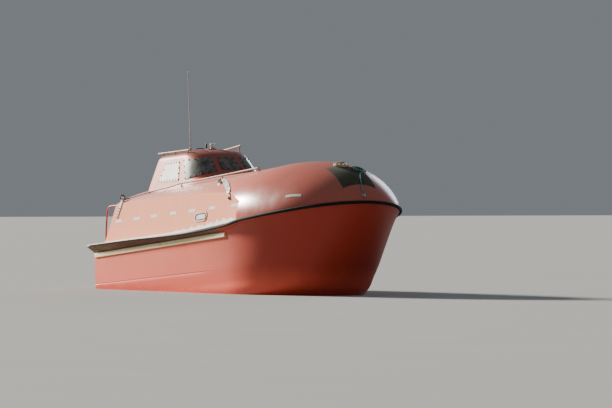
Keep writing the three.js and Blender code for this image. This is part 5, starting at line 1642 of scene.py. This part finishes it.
# Crowned pad between two corners: its sides pull in between the corners and it swells away from flat
def padForm(name, box, flat, steps=14):
    middle = Vector([(low + high) / 2 for low, high in box])
    half = Vector([(high - low) / 2 for low, high in box])
    first, second = [k for k in range(3) if k != flat]
    points, faces, pull = [], [], padMake["pull"]
    for top in (1, -1):
        for i in range(steps + 1):
            for j in range(steps + 1):
                a, b = 2 * i / steps - 1, 2 * j / steps - 1
                swell = (max(1 - a**4, 0) * max(1 - b**4, 0)) ** padMake["crown"]
                rise = padMake["edge"] + padMake["full"] * swell
                offSeam = (abs(b) - padMake["seamAt"]) / padMake["seamWide"]
                seam = padMake["seam"] * math.exp(-(offSeam**2)) * (1 - a**4)
                corner = 1 - padMake["corner"] * (a * b) ** 4
                point = middle.copy()
                point[first] += half[first] * a * corner * (1 - pull * (1 - b * b) * abs(a) ** 3)
                point[second] += half[second] * b * corner * (1 - pull * (1 - a * a) * abs(b) ** 3)
                point[flat] += top * half[flat] * (rise - seam if top == 1 else min(rise, padMake["under"]))
                points.append(place(point))
    count = (steps + 1) ** 2
    for k in range(2):
        for i in range(steps):
            for j in range(steps):
                a = k * count + i * (steps + 1) + j
                faces.append((a, a + 1, a + steps + 2, a + steps + 1))
    edge = [(0, j) for j in range(steps)] + [(i, steps) for i in range(steps)]
    edge += [(steps, j) for j in range(steps, 0, -1)] + [(i, 0) for i in range(steps, 0, -1)]
    for k in range(len(edge)):
        (a, b), (c, d) = edge[k], edge[(k + 1) % len(edge)]
        p, q = a * (steps + 1) + b, c * (steps + 1) + d
        faces.append((p, q, count + q, count + p))
    return meshFrom(name, points, faces)


def seatPad(name, key, flat, replaces=()):
    pad = padForm(name, seat[key], flat)
    smooth = pad.modifiers.new("soft", "SUBSURF")
    smooth.levels = smooth.render_levels = 1
    pad.data = bpy.data.meshes.new_from_object(pad.evaluated_get(bpy.context.evaluated_depsgraph_get()))
    pad.modifiers.clear()
    finishPiece(pad, seatVinyl.material, slot="seat_vinyl", replaces=replaces, sharp=70)


# Carried-over nodes get their finishes

cabinWhite = gelcoat("cabinWhite", {**whiteLook, "blotch": 0.3, "scratch": 0.2})
seatVinyl = Paint("seatVinyl", Roughness=0.5)
grain = seatVinyl.cells(240.0)
seatVinyl.wear(Base_Color=seatVinyl.mix(seatVinyl.noise(4.0, 4.0), (0.03, 0.03, 0.032), (0.06, 0.058, 0.055)))
seatVinyl.relief(grain, 0.35, 0.001)
wheelPlastic = Paint("wheelPlastic", Roughness=0.4)
wheelTone = wheelPlastic.mix(wheelPlastic.noise(12.0, 4.0), (0.02, 0.02, 0.02), (0.05, 0.05, 0.05))
wheelPlastic.wear(Base_Color=wheelTone)
wheelPlastic.relief(wheelPlastic.noise(200.0), 0.2, 0.0006)
nodeFinish = {
    "aft_deck": whitePaint, "stern_door": panelPaint, "skeg": hullPaint, "propeller": bronzeCast,
    "steering_nozzle": hullPaint, "cabin_floor": greyPaint, "engine_casing": cabinWhite, "engine": ironCast,
    "bench_starboard": cabinWhite, "bench_port": cabinWhite, "helm_console": greyPaint,
    "steering_wheel": wheelPlastic.material,
}
for name, finish in nodeFinish.items():
    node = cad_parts[name]
    node.data.materials.clear()
    node.data.materials.append(finish)
seatPad("seat_cushion", "cushion", 2, ["helm_seat"])
seatPad("seat_back", "back", 0)
profile = [(radius, seat["floor"] + up) for radius, up in seat["flange"]] + seat["post"]
tray = roundedOutline(rectangle(*seat["tray"]), 40)
parts = [
    turned("post", (seat["x"], 0, 0), (0, 0, 1), profile, 24),
    prism("tray", tray, byXY, seat["trayFrom"], seat["trayTo"]),
]
for side in (-1, 1):
    arm = smoothLine([(x, side * seat["armY"], z) for x, z in seat["arm"]], 5)
    parts.append(tube("arm", arm, seat["armRadius"], 10))
finishParts("seat_frame", parts, darkSteel, slot="seat_vinyl", sharp=40)

# Reflective tape and the dark non-slip patch on the bow

tapePaint = Paint("tapePaint", Roughness=0.35)
hexes = tapePaint.cells(160.0)
wornTape = tapePaint.spread(tapePaint.noise(22.0, 5.0, 0.7), 0.58, 0.7)
tapeTone = tapePaint.mix(hexes, (0.97, 0.98, 0.97), (0.82, 0.84, 0.84))
tapePaint.wear(Base_Color=tapePaint.mix(wornTape * 0.6, tapeTone, (0.8, 0.55, 0.42)))
tapePaint.relief(hexes, 0.15, 0.0005)


# Thin strip of tape laid on a surface: rows of points along it, lifted a little
def tapeStrip(name, at, length, wide, thick=2, deep=3, steps=6):
    rings, half = [], wide * 0.5
    for i in range(steps + 1):
        a = length * (i / steps - 0.5)
        section = ((-half, -deep), (-half, thick), (half, thick), (half, -deep))
        rings.append([at(a, b, up) for b, up in section])
    return loft(name, rings, ends="fan")


tapes = {
    "stations": (860, 1590, 2300, 3070, 3810, 4600, 5460),
    "heights": (1106, 1150, 1194, 1243, 1285, 1331, 1378), "long": 250, "wide": 46, "rise": 0.062,
}


# Places along and across a tape on the side panel: tapes rise towards the bow
def sideTape(side, x, z):
    return lambda a, b, lift: outOfPanel(side)(x + a, z + b + a * tapes["rise"], lift)


for side, hand in hands:
    strips = []
    for x, z in zip(tapes["stations"], tapes["heights"]):
        strips.append(tapeStrip("tape", sideTape(side, x, z), tapes["long"], tapes["wide"]))
    finishParts("side_tape_" + hand, strips, tapePaint.material, slot="canopy_paint", sharp=40)

bowTape = {"from": (6790, -925), "to": (7045, -787), "wide": 22, "thick": 2, "steps": 8}
bowPatch = {"aft": 6840, "fore": 7440, "aftHalf": 285, "foreHalf": 275, "steps": 16, "thick": 0.9}
sheetDeep = 4


# Sheet laid on the whaleback: at turns its shares along and across into a station and y
def onDomeSheet(name, at, thick, steps):
    rings, shares = [], [k / steps for k in range(steps + 1)]
    for t in shares:
        low = [overDome(*at(t, u), -sheetDeep) for u in shares]
        rings.append(low + [overDome(*at(t, u), thick) for u in reversed(shares)])
    return loft(name, rings, ends="strip")


def patchAt(t, u):
    half = bowPatch["aftHalf"] + (bowPatch["foreHalf"] - bowPatch["aftHalf"]) * t
    return bowPatch["aft"] + (bowPatch["fore"] - bowPatch["aft"]) * t, half * (2 * u - 1)


gripPaint = Paint("gripPaint", Roughness=0.9)
grit = gripPaint.noise(260.0, 3.0, 0.8)
tread = gripPaint.noise(7.0, 5.0, 0.65)
gripBase = gripPaint.mix(gripPaint.spread(tread, 0.35, 0.7), (0.085, 0.085, 0.05), (0.045, 0.04, 0.026))
wornGrip = gripPaint.spread(tread + grit * 0.4, 0.84, 0.95) * 0.6
gripPaint.wear(Base_Color=gripPaint.mix(wornGrip, gripBase, (0.3, 0.14, 0.1)))
gripPaint.relief(grit, 0.7, 0.0012)
patch = onDomeSheet("bow_grip_patch", patchAt, bowPatch["thick"], bowPatch["steps"])
finishPiece(patch, gripPaint.material, slot="canopy_paint", sharp=40)


def bowTapeAt(t, u):
    (x0, y0), (x1, y1) = bowTape["from"], bowTape["to"]
    away = Vector((x1 - x0, y1 - y0)).orthogonal().normalized() * bowTape["wide"] * (u - 0.5)
    return x0 + (x1 - x0) * t + away.x, y0 + (y1 - y0) * t + away.y


def portTapeAt(t, u):
    x, y = bowTapeAt(t, u)
    return x, -y


agedTape = Paint("agedTape", Roughness=0.4)
agedNoise = agedTape.noise(40.0, 4.0, 0.7)
agedTone = agedTape.mix(agedTape.spread(agedNoise, 0.4, 0.7), (0.62, 0.78, 0.66), (0.5, 0.5, 0.4))
agedTape.wear(Base_Color=agedTone)
agedTape.relief(agedTape.cells(160.0), 0.15, 0.0005)
strips = [onDomeSheet("bow_tape", at, bowTape["thick"], bowTape["steps"]) for at in (bowTapeAt, portTapeAt)]
finishParts("bow_tape_pair", strips, agedTape.material, slot="canopy_paint", sharp=40)
print("tape ready")

# Floor, light and surroundings

floorHalf = 200
floorCorners = [(x, y, 0) for x, y in rectangle(-floorHalf, floorHalf, -floorHalf, floorHalf)]
floor = meshFrom("floor", floorCorners, [(0, 1, 2, 3)])
floorPaint = Paint("floorPaint", Roughness=0.9)
floorPaint.wear(Base_Color=floorPaint.mix(floorPaint.noise(0.4, 2.0), (0.3, 0.3, 0.295), (0.33, 0.33, 0.325)))
floor.data.materials.append(floorPaint.material)

lights = [
    {"name": "keyLight", "way": (-0.88, -0.36, 0.37), "power": 10.0, "soft": 8, "colour": (1.0, 0.95, 0.86)},
    {"name": "rimLight", "way": (-0.7, 0.68, 0.24), "power": 0.5, "soft": 20, "colour": (0.8, 0.87, 1.0)},
]
for row in lights:
    lamp = bpy.data.objects.new(row["name"], bpy.data.lights.new(row["name"], "SUN"))
    scene.collection.objects.link(lamp)
    lamp.data.energy, lamp.data.color = row["power"], row["colour"]
    lamp.data.angle = math.radians(row["soft"])
    lamp.rotation_euler = Vector(row["way"]).to_track_quat("Z", "Y").to_euler()
surroundings = {"sky": (0.78, 0.84, 0.92), "power": 0.24}
world = bpy.data.worlds.new("surroundings")
scene.world = world
world.use_nodes = True
sky = world.node_tree.nodes["Background"]
sky.inputs["Color"].default_value = (*surroundings["sky"], 1)
sky.inputs["Strength"].default_value = surroundings["power"]
